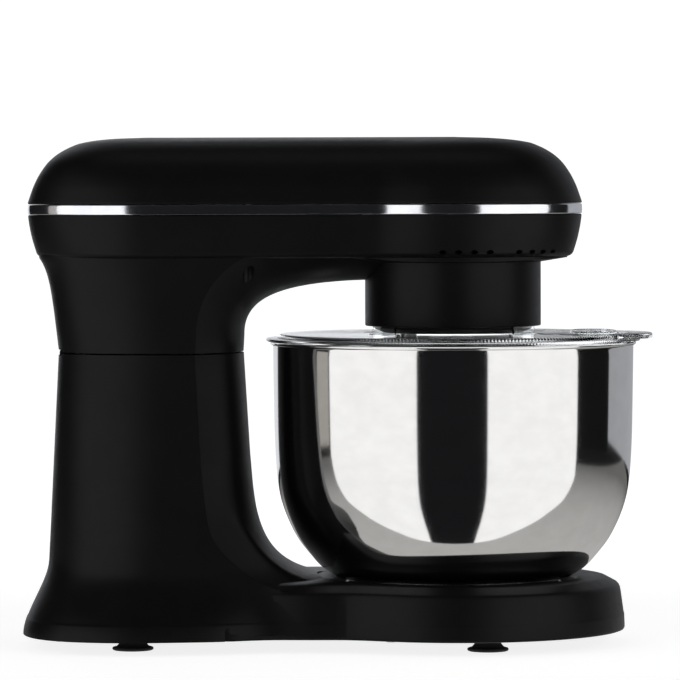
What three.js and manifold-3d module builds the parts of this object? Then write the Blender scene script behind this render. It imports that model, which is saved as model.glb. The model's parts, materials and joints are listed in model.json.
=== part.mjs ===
// Tilt-head stand mixer: a keyhole base with a column, a head hinged at the rear of the column,
// a planetary drive over a steel bowl, and a clear splash lid.
// Millimetres. +Z up, +X towards the bowl, +Y the side with the speed knob.
// The origin is on the table, under the middle of the whole object's box.

import * as THREE from 'three';
import { mergeVertices } from 'three/addons/utils/BufferGeometryUtils.js';
import Module from 'manifold-3d';

const wasm = await Module();
wasm.setup();

// ---- driving dimensions -------------------------------------------------------------------

const GAP = 0.3;
const WALL = 2.8;

const BOWL_X = 67.5;

const HEAD_REAR = -182.3;
const HEAD_FRONT = 143.4;
const HEAD_REAR_LENGTH = 70;
const HEAD_REAR_HALF = 57;
const HEAD_WAIST_HALF = 55;
const HEAD_BULGE_HALF = 63;
const HEAD_BULGE_REACH = 75.9;
const HEAD_BLEND = 6;

const TRAY_BOTTOM = 227;
const BAND_BOTTOM = 252.3;
const BAND_TOP = 258;
const HEAD_TOP = 297.3;

const SEAM_Z = 171.5;
const SEAM_GAP = 1;
const HINGE_X = -159.5;
const KNUCKLE_R = 3.6;
const KNUCKLE_RELIEF = 4.1;
const KNUCKLE_HALF = 8.5;
const KNUCKLE_END = 17;
const NOTCH_HALF = 24.5;
const HINGE_PIN_R = 2;
const HINGE_PIN_HALF = 15.2;

const COLUMN_CENTRE_X = -97.5;
const COLUMN_TOP_HALF = 51.5;
const COLUMN_SPREAD = 17;
const COLUMN_FOOT_SPREAD = 23.5;
const COLUMN_TAPER = 0.66;
const FOOT_TOP = 50;

const BASE_BOTTOM = 8;
const BASE_BAND_TOP = 33.5;
const BASE_PLATEAU = 42.5;
const BASE_R = 97;
const BASE_CENTRE_X = 71.3;
const BASE_REAR_HALF = 70;
const BASE_WAIST_HALF = 76.8;
const BASE_REAR_X = -150;
const BASE_REAR_LENGTH = 30;
const SEAT_R = 79;
const SEAT_FLOOR = 28;

const HUB_R = 51.7;
const HUB_BOTTOM = 186.5;
const HUB_TOP = 240;
const DECK_BOTTOM = 212;
const DECK_TOP = 216;
const DISC_R = 46.8;

const MODULE = 2;
const RING_TEETH = 42;
const TOOL_TEETH = 16;
const MAIN_TEETH = 32;
const IDLER_TEETH = 10;
const TOOL_OFFSET = (RING_TEETH - TOOL_TEETH) * MODULE / 2;
const TOOL_X = BOWL_X - TOOL_OFFSET;
const IDLER_X = BOWL_X - (MAIN_TEETH + IDLER_TEETH) * MODULE / 2;
const PLATE_TOP = 243.6;
const GEAR_Z = [247, 256];
const BELT_Z = [260, 268];
const MOTOR_X = -112;
const MOTOR_PULLEY_R = 9;
const BELT_PULLEY_R = 34;
const BELT_THICK = 1.8;
const SHAFT_R = 5;

const BOWL_BEAD_R = 107.6;
const BOWL_RIM_TOP = 177.4;
const BOWL_WALL = 1.2;

const LID_R = 110;
const LID_TOP = 181.8;
const LID_THICK = 1.8;
const LID_TAB_X = 184.6;

const KNOB_X = -110;
const KNOB_Z = 96;
const KNOB_R = 21;
const KNOB_SEAT_Y = 57.6;
const BEZEL_R = KNOB_R + 5;
const BUTTON_X = -104;
const BUTTON_Z = 148;
const BUTTON_HALF = [14, 7];
const BUTTON_FACE_Y = 60;

const GLAND_SPOT = [22, 27];

const FOOT_R = 12;
const FOOT_SPOTS = { rear: [-119.6, 46.5], front: [86, 58] };
const BASE_SCREWS = [[-161, 56], [-161, -56], [30, 66], [30, -66]];
const COVER_SCREWS = [[-146, 24], [-146, -24], [-52, 40], [-52, -40]];

// ---- materials ----------------------------------------------------------------------------

const finish = (color, roughness, metalness) => ({ color, roughness, metalness });
const BLACK = finish(0x18171a, 0.5, 0);
const DARK = finish(0x0d0d0e, 0.6, 0);
const CHROME = finish(0xd8dade, 0.08, 1);
const STEEL = finish(0xb9bcc0, 0.25, 1);
const BRASS = finish(0xb59a5a, 0.35, 1);
const COPPER = finish(0xa8603a, 0.4, 1);
const NYLON = finish(0xe6e2d6, 0.55, 0);
const RUBBER = finish(0x101011, 0.85, 0);
const CLEAR = finish(0xdfe6e8, 0.1, 0);
const GREEN = finish(0x1f5a34, 0.6, 0);
const ALLOY = finish(0xa9acae, 0.4, 1);

// ---- solids and booleans ------------------------------------------------------------------

function toSolid(geometry) {
  const bare = geometry.clone();
  bare.deleteAttribute('normal');
  bare.deleteAttribute('uv');
  const merged = mergeVertices(bare, 1e-3);
  const vertProperties = new Float32Array(merged.getAttribute('position').array);
  const corner = (i) => new THREE.Vector3().fromArray(vertProperties, 3 * i);
  const index = merged.getIndex().array;
  const faces = [];
  let volume = 0;
  for (let i = 0; i < index.length; i += 3) {
    const [a, b, c] = index.slice(i, i + 3);
    if (a === b || b === c || c === a) continue;
    faces.push([a, b, c]);
    volume += corner(a).dot(corner(b).cross(corner(c)));
  }
  const facing = volume < 0 ? faces.map(([a, b, c]) => [a, c, b]) : faces;
  const triVerts = new Uint32Array(facing.flat());
  return new wasm.Manifold(new wasm.Mesh({ numProp: 3, vertProperties, triVerts }));
}

function toGeometry(solid) {
  const mesh = solid.getMesh();
  const geometry = new THREE.BufferGeometry();
  geometry.setAttribute('position', new THREE.BufferAttribute(new Float32Array(mesh.vertProperties), 3));
  geometry.setIndex(new THREE.BufferAttribute(new Uint32Array(mesh.triVerts), 1));
  geometry.computeVertexNormals();
  return geometry;
}

const cut = (solid, ...tools) => tools.reduce((left, tool) => left.subtract(tool), solid);
const join = (solid, ...others) => others.reduce((whole, other) => whole.add(other), solid);

// ---- basic shapes, all returned as solids -------------------------------------------------

// A box between two corners.
function block([x0, y0, z0], [x1, y1, z1]) {
  const geometry = new THREE.BoxGeometry(x1 - x0, y1 - y0, z1 - z0);
  return toSolid(geometry.translate((x0 + x1) / 2, (y0 + y1) / 2, (z0 + z1) / 2));
}

// A profile of [radius, z] points turned about the vertical line through (x, y).
function turned(profile, x = 0, y = 0, segments = 24) {
  const points = profile.map(([r, z]) => new THREE.Vector2(r, z));
  return toSolid(new THREE.LatheGeometry(points, segments).rotateX(Math.PI / 2).translate(x, y, 0));
}

// A disc or, with an inner radius, a washer.
function disc(r, [z0, z1], x = 0, y = 0, inner = 0, segments = 24) {
  if (inner === 0) return turned([[0, z0], [r, z0], [r, z1], [0, z1]], x, y, segments);
  return turned([[inner, z0], [r, z0], [r, z1], [inner, z1], [inner, z0]], x, y, segments);
}

// A cylinder along X or Y between two coordinates.
function rod(axis, r, from, to, [u, v], segments = 24) {
  const geometry = new THREE.CylinderGeometry(r, r, to - from, segments).translate(0, (from + to) / 2, 0);
  if (axis === 'y') return toSolid(geometry.translate(u, 0, v));
  return toSolid(geometry.rotateZ(-Math.PI / 2).translate(0, u, v));
}

// An outline of [x, y] points raised between two heights.
function prism(outline, [z0, z1], holes = []) {
  const shape = new THREE.Shape(outline.map(([x, y]) => new THREE.Vector2(x, y)));
  shape.holes = holes.map((hole) => new THREE.Path(hole.map(([x, y]) => new THREE.Vector2(x, y))));
  const geometry = new THREE.ExtrudeGeometry(shape, { depth: z1 - z0, bevelEnabled: false });
  return toSolid(geometry.translate(0, 0, z0));
}

// An outline of [x, z] points drawn out between two values of y.
function sideways(outline, [y0, y1]) {
  const shape = new THREE.Shape(outline.map(([x, z]) => new THREE.Vector2(x, z)));
  const geometry = new THREE.ExtrudeGeometry(shape, { depth: y1 - y0, bevelEnabled: false });
  return toSolid(geometry.rotateX(Math.PI / 2).translate(0, y1, 0));
}

// A skin over matching rings of [x, y, z] points, with flat ends. The ends are triangulated
// in the plane of two of the three coordinates.
function loft(rings, plane = [0, 1]) {
  const count = rings[0].length;
  const faces = [];
  for (let j = 0; j + 1 < rings.length; j++) {
    for (let i = 0; i < count; i++) {
      const next = (i + 1) % count;
      const [a, b] = [j * count + i, j * count + next];
      faces.push(a, b, b + count, a, b + count, a + count);
    }
  }
  const lastRing = rings.length - 1;
  for (const [j, forwards] of [[0, false], [lastRing, true]]) {
    const contour = rings[j].map((p) => new THREE.Vector2(p[plane[0]], p[plane[1]]));
    const turn = Math.sign(THREE.ShapeUtils.area(contour));
    const flat = THREE.ShapeUtils.triangulateShape(contour, []);
    if (flat.length !== count - 2) throw new Error(`an end has ${flat.length} triangles, not ${count - 2}`);
    for (const [a, b, c] of flat) {
      const same = Math.sign(THREE.ShapeUtils.area([contour[a], contour[b], contour[c]])) === turn;
      const order = same === forwards ? [a, b, c] : [a, c, b];
      faces.push(...order.map((i) => j * count + i));
    }
  }
  const geometry = new THREE.BufferGeometry();
  geometry.setAttribute('position', new THREE.Float32BufferAttribute(rings.flat(2), 3));
  geometry.setIndex(faces);
  return toSolid(geometry);
}

// ---- outline formulas ---------------------------------------------------------------------

const lerp = THREE.MathUtils.lerp;
const clamp = THREE.MathUtils.clamp;
const smoothstep = THREE.MathUtils.smoothstep;

// The larger of two values, rounded over where they are within `blend` of each other.
function smoothMax(a, b, blend) {
  const near = Math.max(blend - Math.abs(a - b), 0) / blend;
  return Math.max(a, b) + near * near * blend / 4;
}

// A closed outline, symmetric about y = 0, from x stations running rear to front.
function mirroredOutline(stations, halfWidth) {
  const far = stations.map((x) => [x, halfWidth(x)]);
  const near = far.slice(1, -1).reverse().map(([x, y]) => [x, -y]);
  return [...far, ...near];
}

// Stations that crowd towards the two round ends.
function roundEndStations(x0, rearLength, x1, frontLength, counts) {
  const [rear, middle, front] = counts;
  const stations = [];
  for (let i = 0; i < rear; i++) stations.push(x0 + rearLength * (1 - Math.cos(Math.PI / 2 * i / rear)));
  for (let i = 0; i < middle; i++) stations.push(lerp(x0 + rearLength, x1 - frontLength, i / middle));
  for (let i = 0; i <= front; i++) stations.push(x1 - frontLength * (1 - Math.sin(Math.PI / 2 * i / front)));
  return stations;
}

// Moves outline points towards a straight spine on the x axis by the same distance all round.
function insetRing(outline, inset, z, spine) {
  return outline.map(([x, y]) => {
    const foot = clamp(x, spine[0], spine[1]);
    const length = Math.hypot(x - foot, y);
    const keep = Math.max(length - inset(length), 0.5) / length;
    return [foot + (x - foot) * keep, y * keep, z];
  });
}

// ---- head shells --------------------------------------------------------------------------

const HEAD_SPINE = [HEAD_REAR + HEAD_REAR_LENGTH, BOWL_X];

function headHalfWidth(x) {
  const ease = smoothstep(x, HEAD_SPINE[0], 10);
  const waist = lerp(HEAD_REAR_HALF, HEAD_WAIST_HALF, ease);
  const rear = (HEAD_SPINE[0] - x) / HEAD_REAR_LENGTH;
  const lobe = x < HEAD_SPINE[0] ? HEAD_REAR_HALF * Math.sqrt(Math.max(1 - rear * rear, 0)) : waist;
  const reach = x < BOWL_X ? HEAD_BULGE_REACH : HEAD_FRONT - BOWL_X;
  const along = (x - BOWL_X) / reach;
  const bulge = HEAD_BULGE_HALF * Math.sqrt(Math.max(1 - along * along, 0));
  if (x > BOWL_X) return bulge;
  return x < HEAD_SPINE[0] ? lobe : smoothMax(waist, bulge, HEAD_BLEND);
}

function headOutline() {
  const frontLength = HEAD_FRONT - BOWL_X;
  const stations = roundEndStations(HEAD_REAR, HEAD_REAR_LENGTH, HEAD_FRONT, frontLength, [6, 7, 6]);
  return mirroredOutline(stations, headHalfWidth);
}

const HEAD_OUTLINE = headOutline();
const FLAT_TOP = 30;

// An inset that is the same all round near the edge and closes onto the spine at the top.
const domeInset = (distance, wall = 0) => (length) => {
  const edge = Math.min(distance, FLAT_TOP);
  const rest = clamp((distance - FLAT_TOP) / FLAT_TOP, 0, 0.95) * (length - FLAT_TOP - wall);
  return wall + edge + Math.max(rest, 0);
};
const evenInset = (distance) => () => distance;

const headRing = (inset, z) => insetRing(HEAD_OUTLINE, inset, z, HEAD_SPINE);

// Inset from the side, height: the roof of the head.
const DOME = [
  [0, BAND_TOP + GAP], [3, 268], [7.5, 276.8], [14, 285], [23, 290.9], [36, 295.2], [60, HEAD_TOP]];
// Inset, height: the wall of the tray, from its lower edge up.
const TRAY = [[9, TRAY_BOTTOM], [5.4, 229], [2.5, 238], [0, BAND_BOTTOM - GAP]];

function makeHeadCover() {
  const outer = loft(DOME.map(([inset, z]) => headRing(domeInset(inset), z)));
  const below = [0, DOME[0][1] - 1];
  const inner = loft([below, ...DOME.slice(1)].map(([inset, z]) => {
    const drop = inset > 3 ? WALL : 0;
    return headRing(domeInset(inset, WALL), z - drop);
  }));
  const shell = cut(outer, inner);
  const posts = COVER_SCREWS.map(([x, y]) => disc(4, [DOME[0][1], 290], x, y, 0, 8).intersect(outer));
  const bores = COVER_SCREWS.map(([x, y]) => disc(1.8, [DOME[0][1] - 1, 276], x, y, 0, 8));
  return cut(join(shell, ...posts), ...bores);
}

function makeTrimBand() {
  const outer = loft([BAND_BOTTOM, BAND_TOP].map((z) => headRing(evenInset(0), z)));
  const inner = loft([BAND_BOTTOM - 1, BAND_TOP + 1].map((z) => headRing(evenInset(WALL), z)));
  return cut(outer, inner);
}

// ---- column and neck ----------------------------------------------------------------------

// Front line of the neck and arm at y = 0, from the seam up and forward to the hub.
const ARM_LINE = new THREE.CubicBezierCurve(
  new THREE.Vector2(-55.2, 181.5), new THREE.Vector2(-55.4, 203),
  new THREE.Vector2(-35.1, 212.9), new THREE.Vector2(25, 213.6));
// Front line of the column at y = 0, from below the seam down and forward to the base.
const COLUMN_LINE = new THREE.CubicBezierCurve(
  new THREE.Vector2(-52, 110.9), new THREE.Vector2(-49.1, 80.6),
  new THREE.Vector2(-50.8, 36.7), new THREE.Vector2(12, BASE_PLATEAU));

// How far the front surface falls back towards the sides, at a share of the half-width.
const SIDE_SHARES = [-1.2, -1.01, -0.73, -0.4, 0, 0.4, 0.73, 1.01, 1.2];
function fallBack(share, soft, crisp) {
  const f = Math.min(Math.abs(share), 1);
  const crease = 0.73;
  if (f < crease) return soft * (f / crease) ** 2.2;
  return lerp(soft, crisp, (f - crease) / (1 - crease));
}

// Points of the front line pushed into the material, for one share of the half-width.
function pushedLine(curve, steps, share, pushes, wall) {
  const side = pushes.side;
  return Array.from({ length: steps + 1 }, (_, i) => {
    const t = i / steps;
    const point = curve.getPoint(t);
    const tangent = curve.getTangent(t);
    const back = fallBack(share, pushes.soft(point.y), pushes.crisp(point.y)) + wall;
    return [point.x - side * tangent.y * back, point.y + side * tangent.x * back];
  });
}

const neckHalfWidth = (z) => lerp(51.5, 48.5, smoothstep(z, SEAM_Z, TRAY_BOTTOM));
const neckRear = (z) => {
  const below = TRAY_BOTTOM - Math.min(z, TRAY_BOTTOM);
  return -164.3 - 0.115 * (z - 172) - 5.1 * Math.exp(-below / 8.5);
};
const footFlare = (z) => 1 - smoothstep(z, BASE_BOTTOM, FOOT_TOP);
const columnRear = (z) => -164.6 - 0.05 * (167 - z) - 12.7 * footFlare(z);
// How much wider than its top the column is at a height.
function spread(z) {
  const share = clamp((SEAM_Z - z) / (SEAM_Z - FOOT_TOP), 0, 1);
  return COLUMN_SPREAD * share + COLUMN_FOOT_SPREAD * footFlare(z);
}
// The column is widest over the hinge and tapers towards the bowl.
const columnHalfWidth = (z, x = COLUMN_CENTRE_X) => {
  const taper = lerp(1, COLUMN_TAPER, smoothstep(x, -130, -5));
  return COLUMN_TOP_HALF + spread(z) * taper;
};
const roundness = (z) => lerp(3, 2.4, smoothstep(z, BASE_BOTTOM, 60));

// Plan section at one height: a superelliptic rear, then sides that follow half(z, x).
function columnRing(z, rear, half, stations, wall = 0) {
  const steps = 6;
  const power = 2 / roundness(z);
  const length = COLUMN_CENTRE_X - rear - wall;
  const far = Array.from({ length: steps + 1 }, (_, i) => {
    const angle = Math.PI / 2 * i / steps;
    const x = COLUMN_CENTRE_X - length * Math.cos(angle) ** power;
    return [x, (half(z, x) - wall) * Math.sin(angle) ** power];
  });
  far.push(...stations.map((x) => [x, half(z, x) - wall]));
  const near = far.slice(1).reverse().map(([x, y]) => [x, -y]);
  return [...far, ...near].map(([x, y]) => [x, y, z]);
}

function planBody(levels, rear, half, stations, wall = 0) {
  return loft(levels.map((z) => columnRing(z, rear(z), half, stations, wall)));
}

function neckBody(wall, bottom, top) {
  const above = 262;
  const pushes = { side: 1, soft: () => 12.5, crisp: () => 27 };
  const rings = SIDE_SHARES.map((share) => {
    const curved = pushedLine(ARM_LINE, 5, share, pushes, wall);
    const start = [curved[0][0] - 0.5, bottom];
    const end = [72, curved.at(-1)[1]];
    const outline = [[-200, bottom], start, ...curved, end, [72, above], [-200, above]];
    return outline.map(([x, z]) => [x, share * neckHalfWidth(z), z]);
  });
  const levels = [bottom, 200, 217, 223, top];
  return loft(rings, [0, 2]).intersect(planBody(levels, neckRear, neckHalfWidth, [76], wall));
}

function columnBody(wall, bottom, top) {
  const pushes = {
    side: -1,
    soft: (z) => 2 + 10.5 * smoothstep(z, 42, 92),
    crisp: (z) => 10 + 17.5 * smoothstep(z, 37, 78),
  };
  const rings = SIDE_SHARES.map((share) => {
    const curved = pushedLine(COLUMN_LINE, 6, share, pushes, wall);
    const start = [curved[0][0] - 3.6, top];
    const end = [12, bottom];
    const outline = [[-200, top], start, ...curved, end, [-200, bottom]];
    return outline.map(([x, z]) => [x, share * columnHalfWidth(z, -40), z]);
  });
  const levels = [bottom, 15, 25, 37, FOOT_TOP, top];
  const stations = [-73, -50, -32, -14, 30];
  return loft(rings, [0, 2]).intersect(planBody(levels, columnRear, columnHalfWidth, stations, wall));
}

// ---- hinge --------------------------------------------------------------------------------

const knuckle = (y0, y1, r = KNUCKLE_R) => rod('y', r, y0, y1, [HINGE_X, SEAM_Z], 20);

// The wedge behind the hinge that lets the head swing up past the column.
function rearWedge(rise) {
  const back = -190;
  const outline = [[HINGE_X, SEAM_Z], [back, SEAM_Z], [back, SEAM_Z + rise * (HINGE_X - back)]];
  return sideways(outline, [-NOTCH_HALF, NOTCH_HALF]);
}

// ---- head housing: tray, neck and arm in one moulding -------------------------------------

const VENT_ANGLES = [31, 38, 45, 53, 70, 79, 88, 97];
const SLOT_X = [-84, -66];

function ventSlots() {
  const slots = [];
  for (const side of [-1, 1]) {
    for (const degrees of VENT_ANGLES) {
      const slot = new THREE.BoxGeometry(28, 4, 2.6).translate(65, 0, 230.45);
      slots.push(toSolid(slot.rotateZ(side * THREE.MathUtils.degToRad(degrees)).translate(BOWL_X, 0, 0)));
    }
  }
  return slots;
}

function makeHeadHousing() {
  const bottom = SEAM_Z + SEAM_GAP / 2;
  const tray = loft(TRAY.map(([inset, z]) => headRing(evenInset(inset), z)));
  const trayRoom = loft([[TRAY_BOTTOM + 2.5, 12], [240, 5.2], [BAND_BOTTOM + 1, WALL]]
    .map(([z, inset]) => headRing(evenInset(inset), z)));
  const slope = disc(70, [222, TRAY_BOTTOM + 1], BOWL_X).intersect(
    turned([[0, 224], [HUB_R, 224], [70, TRAY_BOTTOM], [70, 240], [0, 240]], BOWL_X));
  const footprint = loft([220, 232].map((z) => headRing(evenInset(9), z)));
  const whole = join(tray, neckBody(0, bottom, 236), slope.intersect(footprint));
  const hinge = join(
    knuckle(-KNUCKLE_HALF, KNUCKLE_HALF),
    sideways(
      [[HINGE_X, SEAM_Z + 1], [HINGE_X + 3, SEAM_Z], [HINGE_X + 16, 182], [HINGE_X - 1, 182]],
      [-KNUCKLE_HALF, KNUCKLE_HALF]));
  const room = join(trayRoom, neckBody(WALL, bottom + 3, 234));
  const [inner, outer] = [KNUCKLE_HALF + GAP / 2, KNUCKLE_END + GAP];
  const reliefs = [[-outer, -inner], [inner, outer]].map(([y0, y1]) => knuckle(y0, y1, KNUCKLE_RELIEF));
  const shell = cut(whole, room, rearWedge(0.42), ...reliefs);
  const neckPlan = planBody([210, 256], neckRear, neckHalfWidth, [76], 1);
  const ledges = [[-140, -135], [-80, -74]].flatMap(([x0, x1]) => [-1, 1].map((side) => {
    const [y0, y1] = side > 0 ? [30, 50] : [-50, -30];
    return block([x0, y0, 218], [x1, y1, 248]).intersect(neckPlan);
  }));
  const posts = COVER_SCREWS.map(([x, y]) => join(
    disc(5.5, [bottom, 250], x, y, 0, 10).intersect(whole),
    disc(5.5, [249, BAND_TOP], x, y, 0, 10)));
  const bores = COVER_SCREWS.map(([x, y]) => turned(
    [[0, 160], [4, 160], [4, 246], [2.2, 246], [2.2, 262], [0, 262]], x, y, 8));
  return cut(
    join(shell, hinge, ...ledges, ...posts),
    ...bores,
    disc(HUB_R + GAP, [180, BAND_TOP + 4], BOWL_X, 0, 0, 40),
    rod('y', HINGE_PIN_R + 0.1, -KNUCKLE_END, KNUCKLE_END, [HINGE_X, SEAM_Z], 16),
    disc(5, [160, 182], -135, 0, 0, 12),
    block([-78, -6, 170], [-72, 6, 175.6]),
    ...ventSlots());
}

// ---- base ---------------------------------------------------------------------------------

const BASE_SPINE = [BASE_REAR_X + BASE_REAR_LENGTH, BASE_CENTRE_X];

function baseHalfWidth(x) {
  const along = Math.max(BASE_SPINE[0] - x, 0) / BASE_REAR_LENGTH;
  const side = lerp(BASE_REAR_HALF, BASE_WAIST_HALF, smoothstep(x, -60, -14));
  const rear = side * Math.sqrt(Math.max(1 - along ** 2, 0));
  const round = BASE_R * Math.sqrt(Math.max(1 - ((x - BASE_CENTRE_X) / BASE_R) ** 2, 0));
  return x > BOWL_X - 20 ? round : smoothMax(rear, round, 12);
}

function baseOutline() {
  const stations = roundEndStations(BASE_REAR_X, BASE_REAR_LENGTH, BASE_CENTRE_X + BASE_R, BASE_R, [3, 6, 8]);
  return mirroredOutline(stations, baseHalfWidth);
}

const BASE_OUTLINE = baseOutline();
const baseRing = (inset, z) => insetRing(BASE_OUTLINE, evenInset(inset), z, BASE_SPINE);
// Inset, height: the wall of the base slab from the table up.
const SLAB = [
  [0.2, BASE_BOTTOM], [0, 11], [2.6, 30], [4.2, BASE_BAND_TOP], [12.5, 40.4], [22.5, BASE_PLATEAU]];
const SLAB_ROOM = [
  [WALL + 1, BASE_BOTTOM - 1], [WALL + 2.6, 22], [WALL + 5, 30], [16, 37], [24, BASE_PLATEAU - WALL]];

function makeBaseHousing() {
  const top = SEAM_Z - SEAM_GAP / 2;
  const slab = loft(SLAB.map(([inset, z]) => baseRing(inset, z)));
  const column = columnBody(0, BASE_BOTTOM, top);
  const outside = join(slab, column);
  const slabRoom = loft(SLAB_ROOM.map(([inset, z]) => baseRing(inset, z)));
  const columnRoom = columnBody(WALL, BASE_BOTTOM - 1, top - 3);
  const seatProfile = [[0, SEAT_FLOOR], [70, SEAT_FLOOR], [SEAT_R - 2, 31], [SEAT_R, 60], [0, 60]];
  const seat = turned(seatProfile, BOWL_X, 0, 36);
  const floor = SEAT_FLOOR - WALL;
  const panProfile = [[0, floor], [72, floor], [SEAT_R + 1, 29], [SEAT_R + 3, 41], [0, 41]];
  const seatPan = turned(panProfile, BOWL_X, 0, 36);
  const knobSpot = [KNOB_X, KNOB_Z];
  const knobPad = rod('y', BEZEL_R + 3, KNOB_SEAT_Y - 3, 90, knobSpot, 32).intersect(column);
  const knobPocket = rod('y', BEZEL_R + GAP, KNOB_SEAT_Y, 90, knobSpot, 32);
  const [w, h] = BUTTON_HALF.map((half) => half + GAP);
  const buttonHole = block([BUTTON_X - w, 30, BUTTON_Z - h], [BUTTON_X + w, 70, BUTTON_Z + h]);
  const web = [
    [HINGE_X - 1, 160], [HINGE_X + 16, 160], [HINGE_X + 2.6, SEAM_Z - 0.2], [HINGE_X, SEAM_Z - 1]];
  const spans = [[-KNUCKLE_END, -KNUCKLE_HALF - GAP], [KNUCKLE_HALF + GAP, KNUCKLE_END]];
  const hinges = spans.map((span) => join(knuckle(...span), sideways(web, span)));
  const posts = BASE_SCREWS.map(([x, y]) => disc(5, [12, x < 0 ? 35 : 27], x, y, 0, 8).intersect(outside));
  const bores = BASE_SCREWS.map(([x, y]) => disc(1.9, [5, 24], x, y, 0, 8));
  const hollow = cut(outside, slabRoom, columnRoom);
  const shell = join(hollow, knobPad, seatPan.intersect(join(slab, slabRoom)), ...posts);
  return cut(
    join(cut(shell, rearWedge(-0.33)), ...hinges),
    seat, knobPocket, buttonHole, ...bores,
    knuckle(-KNUCKLE_HALF - GAP, KNUCKLE_HALF + GAP, KNUCKLE_RELIEF),
    rod('y', HINGE_PIN_R + 0.1, -HINGE_PIN_HALF - GAP, HINGE_PIN_HALF + GAP, [HINGE_X, SEAM_Z], 16),
    rod('y', 4, 40, 65, knobSpot, 16),
    rod('x', 6.3, -190, -160, GLAND_SPOT, 20),
    disc(5, [160, 176], -135, 0, 0, 16),
    block([SLOT_X[0], -9, 160], [SLOT_X[1], 9, 176]));
}

function makeBasePlate() {
  const inset = 4.6;
  const levels = [BASE_BOTTOM + GAP, BASE_BOTTOM + 2.6];
  const plate = loft(levels.map((z) => baseRing(inset, z)));
  const tail = loft(levels.map((z) => {
    const rear = columnRear(levels[1]);
    const half = (_, x) => columnHalfWidth(levels[1], x);
    return columnRing(z, rear, half, [-73, -50, -32, -14], inset);
  }));
  const whole = join(plate, tail);
  const holes = FEET.map(([x, y]) => disc(5, [0, 20], x, y, 0, 16));
  const bores = BASE_SCREWS.map(([x, y]) => disc(2.2, [0, 20], x, y, 0, 12));
  const vents = [-60, -45, -30, -15].map((x) => block([x, -22, 0], [x + 5, 22, 20]));
  return cut(whole, ...holes, ...bores, ...vents);
}

const FEET = Object.values(FOOT_SPOTS).flatMap(([x, y]) => [[x, -y], [x, y]]);

// A rubber foot with a neck that is pulled through the base plate.
function makeFoot([x, y]) {
  const sole = Array.from({ length: 14 }, (_, i) => {
    const angle = 2 * Math.PI * i / 14;
    return [x + FOOT_R * Math.cos(angle), y + FOOT_R * Math.sin(angle)];
  });
  const neck = turned([
    [0, 1], [10.6, 1], [7.2, 5], [6.6, BASE_BOTTOM - GAP], [4.6, BASE_BOTTOM], [4.6, 11.2], [6.2, 11.6],
    [4.8, 14], [0, 14]], x, y, 14);
  return join(prism(sole, [0, 2]), neck);
}

function makeScrew([x, y], head, tip, r = 1.5) {
  const down = tip < head;
  const headEnd = head + (down ? 2 : -2);
  const profile = [[0, tip], [r, tip], [r, head], [3.2, head], [3.2, headEnd], [0, headEnd]];
  return turned(profile, x, y, 8);
}

// ---- bowl lock and bowl -------------------------------------------------------------------

const CLAW_ANGLES = [90, 210, 330];

// A block of a ring between two angles, made from an extruded arc outline.
function ringBlock(r0, r1, degrees, width, z, x = BOWL_X) {
  const half = THREE.MathUtils.degToRad(width / 2);
  const middle = THREE.MathUtils.degToRad(degrees);
  const steps = 3;
  const arc = (r, k) => Array.from({ length: steps + 1 }, (_, i) => {
    const angle = middle + k * half * (2 * i / steps - 1);
    return [x + r * Math.cos(angle), r * Math.sin(angle)];
  });
  return prism([...arc(r1, 1), ...arc(r0, -1)], z);
}

function makeClampPlate() {
  const z = SEAT_FLOOR + GAP;
  const dish = turned([[0, z], [64, z], [64, 35.4], [62, 35.4], [62, 30], [0, 30]], BOWL_X, 0, 32);
  return join(dish, ...CLAW_ANGLES.map((angle) => ringBlock(55.2, 63, angle, 26, [33.8, 35.4])));
}

// Radius, height: the outside of the bowl from its bottom edge to below the rim.
const BOWL_SIDE = [
  [56, 36.6], [64, 37.6], [71.5, 40.6], [82, 49.4], [90.5, 60], [97, 72.4],
  [101.8, 88], [104, 103], [105.2, 130], [106, 174]];

function makeBowl() {
  const inside = BOWL_SIDE.map(([r, z]) => {
    const upright = z > 50;
    return [r - BOWL_WALL * (upright ? 1 : 0.7), z + BOWL_WALL * (upright ? 0 : 0.8)];
  });
  const rim = [
    [BOWL_BEAD_R - 1, 174.5], [BOWL_BEAD_R, 175.8], [BOWL_BEAD_R - 0.5, BOWL_RIM_TOP], [105.9, 176.6]];
  return turned([
    [0, 38.4], [50, 36.6], ...BOWL_SIDE, ...rim, ...inside.reverse(), [0, 39.8]], BOWL_X, 0, 36);
}

function makeBowlFoot() {
  const ring = turned([[50.6, 31.2], [54, 31.2], [54, 36.2], [50.6, 36.2], [50.6, 31.2]], BOWL_X, 0, 32);
  return join(ring, ...CLAW_ANGLES.map((angle) => ringBlock(53, 60, angle, 22, [31.2, 33.2])));
}

// ---- splash lid ---------------------------------------------------------------------------

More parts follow.
